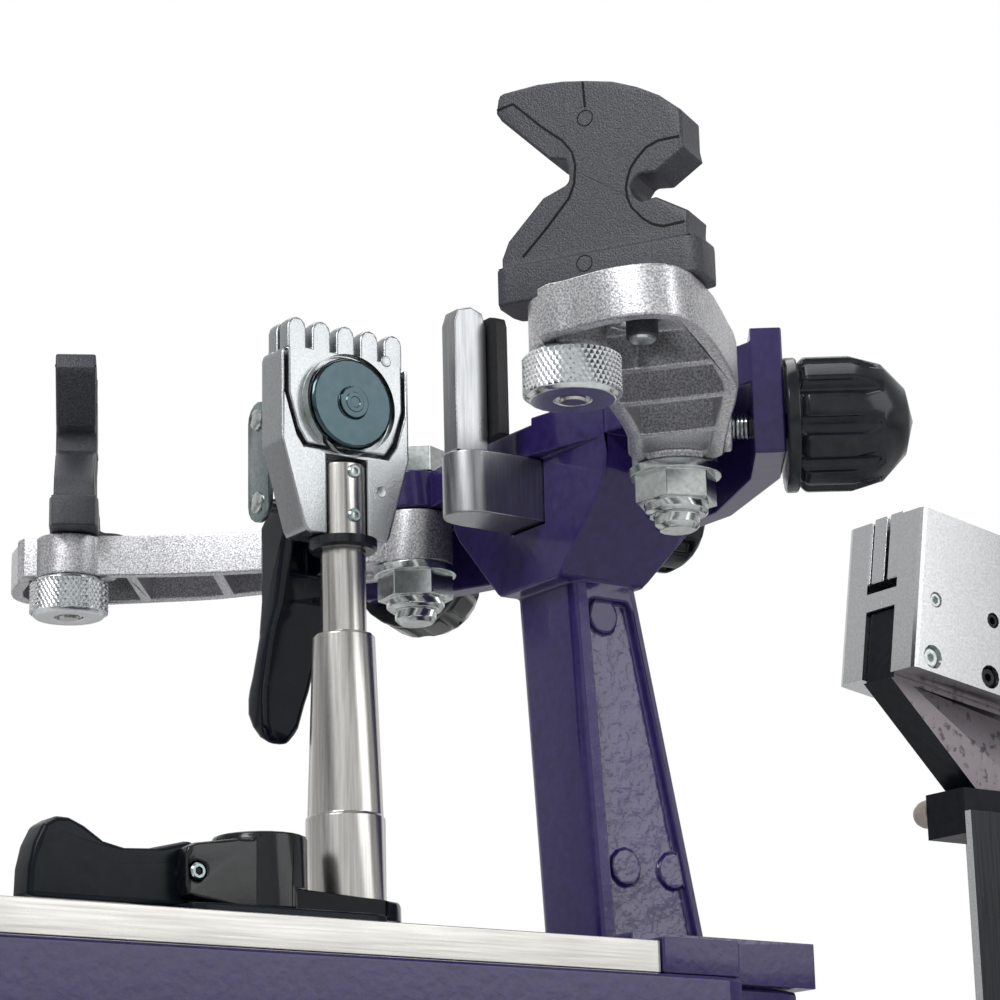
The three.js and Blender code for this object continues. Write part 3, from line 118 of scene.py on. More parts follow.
# %% [markdown]
# Product photographs like this one are taken in a pale room. The background is plain white to
# the camera. Metal mirrors a room that is white near the horizon, greyer overhead and darker on
# two sides, because a polished post only looks round when it mirrors both light and dark. A
# picture of a real studio would do the same, but two colour ramps need no file and are easy to
# change.

# %% World
overhead_greys = [(0.0, 0.75), (0.12, 1.0), (0.5, 0.9), (0.85, 0.35)]
wall_greys = [(0.0, 0.5), (0.3, 0.95), (0.7, 0.85), (1.0, 0.42)]
across_room = (0.82, -0.57, 0.0)
fill_strength = 0.5
world = bpy.data.worlds.new("room")
bpy.context.scene.world = world
world.use_nodes = True
sky = world.node_tree.nodes
wire = world.node_tree.links.new


def ramp_of(source, stops):
    """A colour ramp over a number, from (position, grey) stops."""
    ramp = sky.new("ShaderNodeValToRGB")
    while len(ramp.color_ramp.elements) < len(stops):
        ramp.color_ramp.elements.new(0.5)
    for element, (position, grey) in zip(ramp.color_ramp.elements, stops):
        element.position = position
        element.color = (grey, grey, grey, 1)
    wire(source, ramp.inputs[0])
    return ramp.outputs["Color"]


def mix_of(blend):
    """A colour mix node of that kind."""
    mix = sky.new("ShaderNodeMix")
    mix.data_type = "RGBA"
    mix.blend_type = blend
    return mix


direction = sky.new("ShaderNodeTexCoord")
parts = sky.new("ShaderNodeSeparateXYZ")
wire(direction.outputs["Generated"], parts.inputs[0])
overhead = ramp_of(parts.outputs["Z"], overhead_greys)
aside = sky.new("ShaderNodeVectorMath")
aside.operation = "DOT_PRODUCT"
aside.inputs[1].default_value = across_room
wire(direction.outputs["Generated"], aside.inputs[0])
spread = sky.new("ShaderNodeMapRange")
spread.inputs["From Min"].default_value = -1
wire(aside.outputs["Value"], spread.inputs["Value"])
walls = ramp_of(spread.outputs["Result"], wall_greys)
room = mix_of("MULTIPLY")
room.inputs["Factor"].default_value = 1
wire(overhead, room.inputs["A"])
wire(walls, room.inputs["B"])
print("room nodes", len(sky))

# %% [markdown]
# The light path tells the world who is looking. The camera gets plain white, mirrors get the
# room at full strength, and all other light is halved, so that paint is not washed out.

# %% What each ray sees
ray = sky.new("ShaderNodeLightPath")
backdrop = mix_of("MIX")
backdrop.inputs["B"].default_value = (1, 1, 1, 1)
wire(ray.outputs["Is Camera Ray"], backdrop.inputs["Factor"])
wire(room.outputs["Result"], backdrop.inputs["A"])
seen = sky.new("ShaderNodeMath")
seen.operation = "MAXIMUM"
wire(ray.outputs["Is Camera Ray"], seen.inputs[0])
wire(ray.outputs["Is Glossy Ray"], seen.inputs[1])
strength = sky.new("ShaderNodeMapRange")
strength.inputs["To Min"].default_value = fill_strength
strength.inputs["To Max"].default_value = 1.0
wire(seen.outputs[0], strength.inputs["Value"])
wire(backdrop.outputs["Result"], sky["Background"].inputs["Color"])
wire(strength.outputs["Result"], sky["Background"].inputs["Strength"])
print("world nodes", len(sky))

# %% [markdown]
# Three soft boxes stand round the machine: a key beyond the free end of the base, a wide fill
# on the crank side, and one overhead. They are weak, because the room already gives a plain
# level of light, and a stronger lamp would burn out the plate and the silver arms.


# %% Lamps
def soft_lamp(name, place, target, size, watts):
    """A square soft box that looks at the target."""
    bpy.ops.object.light_add(type="AREA", location=place)
    lamp = bpy.context.object
    lamp.name = name
    lamp.data.shape = "SQUARE"
    lamp.data.size = size
    lamp.data.energy = watts
    lamp.rotation_euler = (Vector(target) - Vector(place)).to_track_quat("-Z", "Y").to_euler()
    return lamp


work_centre = (-0.1, 0, 0.3)
lamps = [soft_lamp("key_box", (-1.5, -0.7, 1.5), work_centre, size=0.8, watts=20),
         soft_lamp("fill_box", (0.9, -1.7, 1.0), work_centre, size=1.2, watts=9),
         soft_lamp("top_box", (0.1, 0.5, 2.0), work_centre, size=1.4, watts=16)]
print("lamps", len(lamps))

# %% [markdown]
# Every finish is built from the same few nodes. A noise pattern in the piece's own coordinates
# moves the colour a little and raises a fine bump, and a second, coarser one moves the
# roughness. What is the same all over is set on the shader's own socket, because only that
# survives the export.

# %% Material helper
fleck_detail = 3.0
cloud_grain, cloud_detail = 45.0, 4.0
coat_rough = 0.06
smoothest = 0.02


def finish(name, dark, light, metallic, rough, grain=900.0, bump=0.1, depth=0.0002,
           stretch=(1, 1, 1), coat=0.0, wear=0.08, specular=0.5, band=(0.3, 0.7)):
    """A Principled finish whose colour runs between two values with a noise of that grain."""
    made = bpy.data.materials.new(name)
    made.use_nodes = True
    tree = made.node_tree
    shader = tree.nodes["Principled BSDF"]
    shader.inputs["Metallic"].default_value = metallic
    shader.inputs["Coat Weight"].default_value = coat
    shader.inputs["Coat Roughness"].default_value = coat_rough
    shader.inputs["Specular IOR Level"].default_value = specular
    place = tree.nodes.new("ShaderNodeTexCoord")
    mapping = tree.nodes.new("ShaderNodeMapping")
    mapping.inputs["Scale"].default_value = stretch
    tree.links.new(place.outputs["Object"], mapping.inputs["Vector"])
    noise = tree.nodes.new("ShaderNodeTexNoise")
    noise.inputs["Scale"].default_value = grain
    noise.inputs["Detail"].default_value = fleck_detail
    tree.links.new(mapping.outputs["Vector"], noise.inputs["Vector"])
    cloud = tree.nodes.new("ShaderNodeTexNoise")
    cloud.inputs["Scale"].default_value = cloud_grain
    cloud.inputs["Detail"].default_value = cloud_detail
    tree.links.new(place.outputs["Object"], cloud.inputs["Vector"])
    tone = tree.nodes.new("ShaderNodeValToRGB")
    for element, position, colour in zip(tone.color_ramp.elements, band, (dark, light)):
        element.position = position
        element.color = (*colour, 1)
    tree.links.new(noise.outputs["Fac"], tone.inputs["Fac"])
    tree.links.new(tone.outputs["Color"], shader.inputs["Base Color"])
    wear_range = tree.nodes.new("ShaderNodeMapRange")
    wear_range.inputs["To Min"].default_value = max(smoothest, rough - wear)
    wear_range.inputs["To Max"].default_value = rough + wear
    tree.links.new(cloud.outputs["Fac"], wear_range.inputs["Value"])
    tree.links.new(wear_range.outputs["Result"], shader.inputs["Roughness"])
    relief = tree.nodes.new("ShaderNodeBump")
    relief.inputs["Strength"].default_value = bump
    relief.inputs["Distance"].default_value = depth
    tree.links.new(noise.outputs["Fac"], relief.inputs["Height"])
    tree.links.new(relief.outputs["Normal"], shader.inputs["Normal"])
    return made


# %% [markdown]
# The turntable, masts and base carry a deep purple gloss paint with the slight orange peel of
# sprayed powder, which is a shallow bump under a thin clear coat. On the masts' sunken panels
# the casting was not ground first, so the same paint lies rougher there. The rough paint is also
# a lighter purple, which is painted light on the masts' side faces.

# %% Paints
purple_gloss = finish("purple_gloss", (0.022, 0.013, 0.090), (0.034, 0.021, 0.128), 0.0, 0.2,
                      grain=380, bump=0.3, depth=0.0003, coat=0.35, wear=0.06, specular=0.3)
# The rough paint's lighter purple is painted light on the masts' side faces; its coarser bump is
# the rough casting.
rough_paint = finish("rough_paint", (0.050, 0.036, 0.135), (0.072, 0.055, 0.170), 0.0, 0.16,
                     grain=210, bump=0.7, depth=0.0010, coat=0.5, wear=0.04, specular=0.4)
black_enamel = finish("black_enamel", (0.004, 0.005, 0.007), (0.010, 0.012, 0.015), 0.0, 0.2,
                      grain=350, bump=0.1, depth=0.0003, coat=0.2, wear=0.06, specular=0.3)
print("with the paints, materials", len(bpy.data.materials))

# %% [markdown]
# The arms have a silver paint with fine flakes. Two greys far apart, with a very fine grain and
# a narrow band between them, read as flakes. The cradles and the clamp heads are bare castings,
# polished or blasted. The brake arm's sides get a mottled grey that is lighter than the dark
# arm, and that lighter grey is painted light where the lamps fall on those sides.

# %% Cast metals
silver_flake = finish("silver_flake", (0.34, 0.34, 0.36), (0.78, 0.78, 0.80), 0.85, 0.34,
                      grain=2200, bump=0.3, depth=0.0002, band=(0.38, 0.62))
polished_cast = finish("polished_cast", (0.32, 0.33, 0.34), (0.44, 0.45, 0.46), 1.0, 0.3,
                       grain=1300, bump=0.1, depth=0.0001, stretch=(1, 1, 0.06))
dull_cast = finish("dull_cast", (0.36, 0.38, 0.39), (0.46, 0.48, 0.49), 0.95, 0.27,
                   grain=1800, bump=0.2, depth=0.0002)
# The lighter grey is painted light on the brake arm's lit sides; the mottle is its cast surface.
side_cast = finish("side_cast", (0.10, 0.09, 0.10), (0.27, 0.24, 0.26), 0.6, 0.36,
                   grain=420, bump=0.3, depth=0.0003, band=(0.33, 0.43))
dark_cast = finish("dark_cast", (0.004, 0.005, 0.009), (0.008, 0.010, 0.016), 0.0, 0.34,
                   grain=420, bump=0.2, depth=0.0003, specular=0.18)
print("with the cast metals, materials", len(bpy.data.materials))

# %% [markdown]
# Brushed metal has its scratches all one way. The noise is stretched along that way, so one
# grain becomes a long streak. Plated and turned parts get an even, finer grain instead.

# %% Brushed, plated and turned metals
brushed_stainless = finish("brushed_stainless", (0.46, 0.45, 0.43), (0.62, 0.61, 0.58), 1.0, 0.24,
                           grain=1400, bump=0.1, depth=0.0001, stretch=(1, 1, 0.03))
plate_brush = finish("plate_brush", (0.46, 0.45, 0.43), (0.62, 0.61, 0.58), 1.0, 0.3,
                     grain=1300, bump=0.15, depth=0.0001, stretch=(0.03, 1, 1))
dark_plate = finish("dark_plate", (0.030, 0.033, 0.036), (0.050, 0.054, 0.058), 0.9, 0.3,
                    grain=1200, bump=0.1, depth=0.0001, stretch=(1, 1, 0.04))
bright_zinc = finish("bright_zinc", (0.50, 0.54, 0.53), (0.70, 0.74, 0.73), 1.0, 0.2,
                     grain=700, bump=0.06, depth=0.0001)
satin_chrome = finish("satin_chrome", (0.50, 0.50, 0.49), (0.60, 0.60, 0.59), 1.0, 0.17,
                      grain=1900, bump=0.12, depth=0.0001, wear=0.04)
green_steel = finish("tinted_steel", (0.048, 0.074, 0.084), (0.058, 0.086, 0.096), 1.0, 0.16,
                     grain=300, bump=0.03, depth=0.0001, wear=0.05)
bright_block = finish("bright_block", (0.58, 0.59, 0.60), (0.70, 0.71, 0.72), 1.0, 0.2,
                      grain=1400, bump=0.05, depth=0.0001, wear=0.04)
link_steel = finish("link_steel", (0.24, 0.29, 0.29), (0.34, 0.40, 0.40), 1.0, 0.28,
                    grain=900, bump=0.08, depth=0.0002)
bright_turned = finish("bright_turned", (0.66, 0.69, 0.70), (0.82, 0.85, 0.86), 1.0, 0.18,
                       grain=900, bump=0.05, depth=0.0001)
print("with the bright metals, materials", len(bpy.data.materials))

# %% [markdown]
# The blacks differ in gloss more than in colour. The knobs are smooth mouldings, the notched
# blocks have an eroded texture that scatters the light, and the soles and pads are rubber.

# %% Plastics and rubber
gloss_black = finish("gloss_black", (0.007, 0.009, 0.012), (0.014, 0.018, 0.023), 0.0, 0.2,
                     grain=300, bump=0.04, depth=0.0002, wear=0.06, specular=0.35)
moulded_black = finish("moulded_black", (0.022, 0.023, 0.030), (0.074, 0.076, 0.094), 0.0, 0.38,
                       grain=2400, bump=0.6, depth=0.0002, wear=0.05, specular=0.45)
lever_black = finish("lever_black", (0.002, 0.004, 0.009), (0.004, 0.008, 0.016), 0.0, 0.12,
                     grain=200, bump=0.03, depth=0.0002, wear=0.04, specular=0.3)
cam_black = finish("cam_black", (0.005, 0.009, 0.014), (0.009, 0.014, 0.021), 0.0, 0.28,
                   grain=350, bump=0.08, depth=0.0002, wear=0.05, specular=0.14)
seam_dark = finish("seam_dark", (0.002, 0.002, 0.002), (0.006, 0.006, 0.007), 0.0, 0.6,
                   grain=900, bump=0.05, depth=0.0001, specular=0.2)
sole_black = finish("sole_black", (0.012, 0.012, 0.012), (0.024, 0.024, 0.024), 0.0, 0.7,
                    grain=800, bump=0.2, depth=0.0003)
pad_black = finish("pad_black", (0.008, 0.008, 0.010), (0.016, 0.016, 0.019), 0.0, 0.45,
                   grain=900, bump=0.1, depth=0.0002, specular=0.3)
bumper_beige = finish("bumper_beige", (0.42, 0.38, 0.31), (0.52, 0.48, 0.40), 0.0, 0.55,
                      grain=600, bump=0.1, depth=0.0002)
print("with plastics and rubber, materials", len(bpy.data.materials))

# %% [markdown]
# A solid takes the finish of its slot in the record. Where two solids of one slot look
# different in the photograph, such as the bright plate and the brushed posts, the solid's own
# name picks the finish.

# %% Finish of each solid
slot_finish = {"purple_paint": purple_gloss, "cast_metal": silver_flake,
               "brushed_steel": brushed_stainless, "zinc_plate": bright_zinc,
               "chrome": satin_chrome, "black_plastic": gloss_black,
               "matt_plastic": moulded_black, "black_paint": black_enamel,
               "dark_metal": dark_cast, "sole_rubber": sole_black, "pad_rubber": pad_black}
own_finish = {"glide_plate": plate_brush, "tension_rail": plate_brush,
              "gripper_body": bright_block, "gripper_jaw_near": bright_block,
              "gripper_jaw_far": bright_block, "side_bracket": dark_plate}
end_finish = {"support": polished_cast, "clamp_head": dull_cast, "jaw": dull_cast,
              "grip_disc": green_steel, "cam_lever": cam_black, "shoe": cam_black,
              "handle": lever_black}
for end in ("head", "throat"):
    for stem, metal in end_finish.items():
        own_finish[f"{stem}_{end}"] = metal
    for side in ("near", "far"):
        own_finish[f"thumb_screw_{end}_{side}"] = bright_turned
print("solids with a finish of their own", len(own_finish))

# %% [markdown]
# The solids have sharp edges and flat facets. Real castings and mouldings have a small radius
# on every edge, and it catches the light. A subdivided mesh would round the flat faces too, so
# each solid's copy is merged, its sharp edges are bevelled, and the rest is shaded smooth. A
# weighted normal keeps the large faces flat to the eye.

# %% Rounding helpers
weld = 0.000002
edge_crease, flat_crease, crease_spare = 32.0, 4.0, 4
even_weight = 90


def only(piece):
    """Selects one piece and makes it the active one."""
    bpy.ops.object.select_all(action="DESELECT")
    piece.select_set(True)
    bpy.context.view_layer.objects.active = piece


def round_edges(piece, edge, crease=edge_crease, segments=2):
    """Bevels what is sharper than the crease and shades the rest smooth."""
    only(piece)
    if edge:
        bevel = piece.modifiers.new("edge", "BEVEL")
        bevel.width = edge
        bevel.segments = segments
        bevel.limit_method = "ANGLE"
        bevel.angle_limit = math.radians(crease)
        bevel.use_clamp_overlap = False
        bpy.ops.object.modifier_apply(modifier=bevel.name)
    bpy.ops.object.shade_smooth_by_angle(angle=math.radians(crease + crease_spare))


def rounded_copy(node, edge, segments):
    """A copy of a node with its edges rounded by that radius."""
    piece = bpy.data.objects.new(node + "_made", frame["nodes"][node].data.copy())
    bpy.context.scene.collection.objects.link(piece)
    only(piece)
    bpy.ops.object.mode_set(mode="EDIT")
    bpy.ops.mesh.select_all(action="SELECT")
    bpy.ops.mesh.remove_doubles(threshold=weld)
    bpy.ops.object.mode_set(mode="OBJECT")
    round_edges(piece, edge, edge_crease if edge else flat_crease, segments)
    even = piece.modifiers.new("even", "WEIGHTED_NORMAL")
    even.keep_sharp = True
    even.weight = even_weight
    bpy.ops.object.modifier_apply(modifier=even.name)
    return piece


# %% [markdown]
# Each slot has its own edge radius, from the thick paint's 1.2 mm down to 0.3 mm on machined
# parts. The levers are rounder than that, and the masts, whose edges lie close together, are
# sharper. The ground gripper, the brake arm and its bracket keep their sharp edges.

# %% Rounded solids
slot_edge = {"purple_paint": 0.0012, "cast_metal": 0.0006, "brushed_steel": 0.0003,
             "zinc_plate": 0.0003, "chrome": 0.0006, "black_plastic": 0.0006,
             "matt_plastic": 0.0006, "black_paint": 0.0008, "dark_metal": 0.0004,
             "sole_rubber": 0.0010, "pad_rubber": 0.0003}
own_edge = {"gripper_body": 0, "rocker": 0, "side_bracket": 0}
for end in ("head", "throat"):
    own_edge.update({f"mast_{end}": 0.0007, f"handle_{end}": 0.0022, f"cam_lever_{end}": 0.0014})
usual_segments, fine_segments = 2, 3


def settle(piece, body, material):
    """Gives a finished piece its material and lets it move with its body."""
    piece.data.materials.clear()
    piece.data.materials.append(material)
    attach(piece, body)
    return piece


made_pieces = {}
for node, slot in slot_of_node.items():
    edge = own_edge.get(node, slot_edge[slot])
    piece = rounded_copy(node, edge, fine_segments if node in own_edge else usual_segments)
    settle(piece, body_of_node[node], own_finish.get(node, slot_finish[slot]))
    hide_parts(node)
    made_pieces[node] = piece
print("rounded", len(made_pieces))

# %% [markdown]
# The small parts are modelled about the Z axis at the origin, with the same operators that a
# person would use. A part starts as one point that is extruded into a line. A closed line is
# filled and extruded into a plate, and an open one is spun into a round part, as on a lathe.

# %% Drawing helpers
seed_size = 0.001
smooth_angle = 30


def mesh_edit(piece, mode="VERT"):
    """Opens a piece for editing with nothing selected."""
    only(piece)
    bpy.ops.object.mode_set(mode="EDIT")
    bpy.ops.mesh.select_mode(type=mode)
    bpy.ops.mesh.select_all(action="DESELECT")


def close_edit():
    """Turns every face outwards and leaves the edit mode."""
    bpy.ops.mesh.select_all(action="SELECT")
    bpy.ops.mesh.normals_make_consistent(inside=False)
    bpy.ops.object.mode_set(mode="OBJECT")
    return bpy.context.object


def drawn(name, points, closed=False):
    """A line drawn through points by extruding one vertex; the piece stays open for editing."""
    bpy.ops.object.select_all(action="DESELECT")
    bpy.ops.mesh.primitive_plane_add(size=seed_size, location=(0, 0, 0))
    piece = bpy.context.object
    piece.name = name
    bpy.ops.object.mode_set(mode="EDIT")
    bpy.ops.mesh.select_mode(type="VERT")
    bpy.ops.mesh.select_all(action="SELECT")
    bpy.ops.mesh.merge(type="CENTER")
    bpy.ops.transform.translate(value=points[0])
    for before, after in zip(points, points[1:]):
        step = Vector(after) - Vector(before)
        bpy.ops.mesh.extrude_region_move(TRANSFORM_OT_translate={"value": step})
    if closed:
        bpy.ops.mesh.select_all(action="SELECT")
        bpy.ops.mesh.edge_face_add()
    return piece


def spun(name, profile, steps=32):
    """A part turned about Z from a profile of (radius, height) points."""
    piece = drawn(name, [(radius, 0, height) for radius, height in profile])
    bpy.ops.mesh.select_all(action="SELECT")
    bpy.ops.mesh.spin(steps=steps, angle=math.tau, center=(0, 0, 0), axis=(0, 0, 1))
    bpy.ops.mesh.select_all(action="SELECT")
    bpy.ops.mesh.remove_doubles(threshold=weld)
    close_edit()
    bpy.ops.object.shade_smooth_by_angle(angle=math.radians(smooth_angle))
    return piece


def plate_of(name, outline, thick, edge=0.0):
    """A flat part from its outline in X and Y, extruded downwards from Z = 0."""
    piece = drawn(name, [(x, y, 0) for x, y in outline], closed=True)
    bpy.ops.mesh.extrude_region_move(TRANSFORM_OT_translate={"value": (0, 0, -thick)})
    close_edit()
    round_edges(piece, edge)
    return piece


# %% [markdown]
# A finished part is set down where it belongs and the move is applied to its mesh, so its own
# origin stays at the world's. That is what lets it ride on a moving body without a jump.

# %% Setting down
upwards, to_near_side = (0, 0, 1), (0, -1, 0)


def placed(piece, place_matrix):
    """Moves a part by a matrix and applies that to its mesh."""
    only(piece)
    piece.matrix_world = place_matrix
    bpy.ops.object.transform_apply(location=True, rotation=True, scale=True)
    return piece


def set_down(piece, place, facing=upwards):
    """Moves a part so that its own Z points along facing."""
    turn = Matrix.Identity(4)
    if tuple(facing) != upwards:
        turn = Vector(facing).to_track_quat("Z", "Y").to_matrix().to_4x4()
    return placed(piece, Matrix.Translation(Vector(place)) @ turn)


def copy_of(piece, name):
    """A copy with a mesh of its own."""
    other = piece.copy()
    other.data = piece.data.copy()
    other.name = name
    bpy.context.scene.collection.objects.link(other)
    return other


def middle(node):
    """The centre of a node's box in X and Y, with its lowest Z."""
    low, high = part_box(node)
    return (low[0] + high[0]) / 2, (low[1] + high[1]) / 2, low[2]


def count_of(*stems):
    """How many pieces have a name that starts with one of the stems."""
    return sum(piece.name.startswith(stems) for piece in bpy.data.objects)


# %% [markdown]
# Where the machine has the same part at its other arms or its other clamp, the finished mesh is
# copied and turned or mirrored there, so it is drawn only once. The turntable's axis is the
# middle of the machine: the throat end is the head end turned half round that axis, and an arm
# on the far side is the near one mirrored.

# %% Repeats
low_corner, high_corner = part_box("turntable")
axis_x = (low_corner[0] + high_corner[0]) / 2
half_turn = (Matrix.Translation((axis_x, 0, 0)) @ Matrix.Rotation(math.pi, 4, "Z")
             @ Matrix.Translation((-axis_x, 0, 0)))
across_mirror = Matrix.Scale(-1, 4, (0, 1, 0))


def mirrored(piece, name):
    """A copy on the other side of the machine, with its faces turned outwards again."""
    other = placed(copy_of(piece, name), across_mirror)
    mesh_edit(other, "FACE")
    close_edit()
    return other


def at_both_clamps(piece, body, material):
    """Settles a part of the head clamp and its copy at the throat clamp."""
    stem = piece.name
    piece.name = stem + "_head"
    other = placed(copy_of(piece, stem + "_throat"), half_turn)
    settle(piece, body + "_head", material)
    settle(other, body + "_throat", material)


def at_all_arms(piece, body, material):
    """Settles a part of the near head arm and its copies at the other three arms."""
    stem = piece.name
    piece.name = stem + "_head_near"
    far = mirrored(piece, stem + "_head_far")
    corners = {"head_near": piece, "head_far": far,
               "throat_near": placed(copy_of(piece, stem + "_throat_near"), half_turn),
               "throat_far": placed(copy_of(far, stem + "_throat_far"), half_turn)}
    for corner, part in corners.items():
        settle(part, body if body in bodies else f"{body}_{corner}", material)


print("turntable axis at x", round(axis_x, 4))

# %% [markdown]
# A socket set screw is a pin with a chamfered end and a six-sided hole. The pin is turned from
# its profile, and a six-sided bar is cut out of its end, as the tool that makes the hole does.
# Two such screws hold the clamp's rod, and one ends the cam lever's pin.


# %% Set screws
def cut_by(piece, cutter):
    """Cuts the second part out of the first and throws it away."""
    only(piece)
    cut = piece.modifiers.new("cut", "BOOLEAN")
    cut.operation = "DIFFERENCE"
    cut.solver = "EXACT"
    cut.object = cutter
    bpy.ops.object.modifier_apply(modifier=cut.name)
    bpy.data.objects.remove(cutter)
    bpy.ops.object.shade_smooth_by_angle(angle=math.radians(smooth_angle))


def socket_screw(name, radius, length, hole_share=0.55, chamfer_share=0.2):
    """A pin about Z that ends at Z = 0, with a six-sided hole in that end."""
    chamfer = radius * chamfer_share
    piece = spun(name, [(0, -length), (radius, -length), (radius, -chamfer),
                        (radius - chamfer, 0), (0, 0)])
    bpy.ops.mesh.primitive_cylinder_add(vertices=6, radius=radius * hole_share,
                                        depth=length, location=(0, 0, 0))
    cut_by(piece, bpy.context.object)
    return piece


post_x, post_y = middle("post_head")[:2]
rod_radius, screw_rise = 0.006, 0.0004
rod_screw_heights = (0.3430, 0.3310)
for number, height in enumerate(rod_screw_heights):
    screw = socket_screw(f"rod_screw_{number}", radius=0.0019, length=0.0016)
    set_down(screw, (post_x, post_y - rod_radius - screw_rise, height), to_near_side)
    at_both_clamps(screw, "swing", link_steel)
lever_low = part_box("cam_lever_head")[0]
cam_pin_x, cam_pin_z = -0.1381, 0.2319
cam_screw = socket_screw("cam_pin_end", radius=0.0021, length=0.0012)
set_down(cam_screw, (cam_pin_x, lever_low[1] - screw_rise, cam_pin_z), to_near_side)
at_both_clamps(cam_screw, "cam_lever", link_steel)
print("set screws", count_of("rod_screw", "cam_pin_end"))

# %% [markdown]
# A knurled grip is rolled between two toothed wheels, which press crossing grooves into it and
# leave a net of small diamonds. A bump would only darken it, so the net is real geometry here:
# a cylinder whose rings are turned by half a step from one to the next. Joining the triangles
# across each ring makes the diamonds, and each is then raised to a point.

# %% Knurled grips
same_height = 0.00001


def pick_edges(piece, level):
    """Selects the level edges between faces, or the upright edges."""
    bpy.ops.mesh.select_all(action="DESELECT")
    bpy.ops.object.mode_set(mode="OBJECT")
    points = piece.data.vertices
    heights = [vertex.co.z for vertex in points]
    low, high = min(heights), max(heights)
    for edge in piece.data.edges:
        a, b = points[edge.vertices[0]].co, points[edge.vertices[1]].co
        inside = low + same_height < a.z < high - same_height
        is_level = abs(a.z - b.z) < same_height
        edge.select = (is_level and inside) if level else not is_level
    bpy.ops.object.mode_set(mode="EDIT")


def pick_ring(piece, height):
    """Selects the points at that height."""
    bpy.ops.mesh.select_all(action="DESELECT")
    bpy.ops.object.mode_set(mode="OBJECT")
    for vertex in piece.data.vertices:
        vertex.select = abs(vertex.co.z - height) < same_height
    bpy.ops.object.mode_set(mode="EDIT")


def open_sleeve(name, radius, height, count):
    """A sleeve about Z from Z = 0, open at both ends, with that many sides."""
    bpy.ops.object.select_all(action="DESELECT")
    bpy.ops.mesh.primitive_cylinder_add(vertices=count, radius=radius, depth=height,
                                        end_fill_type="NOTHING", location=(0, 0, height / 2))
    piece = bpy.context.object
    piece.name = name
    bpy.ops.object.transform_apply(location=True)
    return piece


def knurled(name, radius, height, count, rows, rise):
    """An open sleeve covered with pointed diamonds."""
    piece = open_sleeve(name, radius, height, count)
    mesh_edit(piece, "EDGE")
    pick_edges(piece, level=False)
    bpy.ops.mesh.subdivide(number_cuts=rows - 1)
    for row in range(1, rows + 1, 2):
        bpy.ops.mesh.select_mode(type="VERT")
        pick_ring(piece, height * row / rows)
        bpy.ops.transform.rotate(value=math.pi / count, orient_axis="Z", center_override=(0, 0, 0))
    bpy.ops.mesh.select_all(action="SELECT")
    bpy.ops.mesh.quads_convert_to_tris(quad_method="SHORTEST_DIAGONAL")
    bpy.ops.mesh.select_mode(type="EDGE")
    pick_edges(piece, level=True)
    bpy.ops.mesh.dissolve_edges(use_verts=False)
    bpy.ops.mesh.select_all(action="SELECT")
    bpy.ops.mesh.poke(offset=rise, use_relative_offset=False, center_mode="MEDIAN")
    return close_edit()


# %% [markdown]
# The thumb screw under each notched block has such a grip, and the rounded end of its steel pin
# shows in the middle of its foot.

# %% Thumb screws
thumb_x, thumb_y, thumb_low = middle("thumb_screw_head_near")
thumb_radius, thumb_grip, thumb_lip = 0.01083, 0.0090, 0.001
thumb_net = knurled("thumb_knurl", thumb_radius, thumb_grip, count=48, rows=8, rise=0.0006)
set_down(thumb_net, (thumb_x, thumb_y, thumb_low + thumb_lip))
at_all_arms(thumb_net, "thumb_screw", bright_turned)
pin_end = spun("thumb_pin", [(0, 0.0016), (0.0026, 0.0016), (0.0030, 0.0012), (0.0030, 0.0002),
                             (0.0026, -0.0004), (0, -0.0004)], steps=24)
set_down(pin_end, (thumb_x, thumb_y, thumb_low))
at_all_arms(pin_end, "thumb_screw", brushed_stainless)
print("faces of a thumb screw's net", len(thumb_net.data.polygons))

# %% [markdown]
# The clamp's adjusting wheel has fine straight teeth on its rim and a turned ring on its hub. A
# straight knurl is a sleeve of which every second upright edge stands out.

# %% Adjusting wheel
disc_low, disc_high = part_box("grip_disc_head")
disc_z = (disc_low[2] + disc_high[2]) / 2
disc_radius = (disc_high[0] - disc_low[0]) / 2
disc_hub_rise, disc_thick = 0.001, 0.003
disc_face = disc_low[1] + disc_hub_rise
tooth_foot, tooth_share = 0.0003, 0.8


def fluted_sleeve(name, radius, height, count, rise):
    """An open sleeve with a straight tooth at every second edge."""
    piece = open_sleeve(name, radius, height, count * 2)
    for vertex in piece.data.vertices:
        step = round(math.atan2(vertex.co.y, vertex.co.x) / math.tau * count * 2)
        vertex.select = step % 2 == 0
    bpy.ops.object.mode_set(mode="EDIT")
    bpy.ops.mesh.select_mode(type="VERT")
    grow = 1 + rise / radius
    bpy.ops.transform.resize(value=(grow, grow, 1), center_override=(0, 0, height / 2))
    return close_edit()


rim = fluted_sleeve("disc_teeth", disc_radius + tooth_foot, disc_thick * tooth_share,
                    count=60, rise=0.0008)
set_down(rim, (post_x, disc_face + disc_thick, disc_z), to_near_side)
at_both_clamps(rim, "grip_disc", bright_zinc)
dimple = spun("disc_dimple", [(0.0014, 0), (0.0016, 0.0002), (0.0026, 0.0002), (0.0028, 0)])
set_down(dimple, (post_x, disc_low[1], disc_z), to_near_side)
at_both_clamps(dimple, "grip_disc", green_steel)
print("wheel parts", count_of("disc_teeth", "disc_dimple"))

# %% [markdown]
# Below the head a black rubber ring closes the gap round the rod. Behind the head two punched
# links join the lever's hinge to a block on the head, as a toggle does, with a rivet at each
# end. They are drawn flat as slots with round ends, which is how they are punched.

# %% Links of the toggle
head_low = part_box("clamp_head_head")[0]
seal = spun("rod_seal", [(0.0061, -0.0036), (0.0084, -0.0036), (0.0091, -0.0028),
                         (0.0091, -0.0006), (0.0061, -0.0002)], steps=36)
set_down(seal, (post_x, post_y, head_low[2]))
at_both_clamps(seal, "swing", gloss_black)


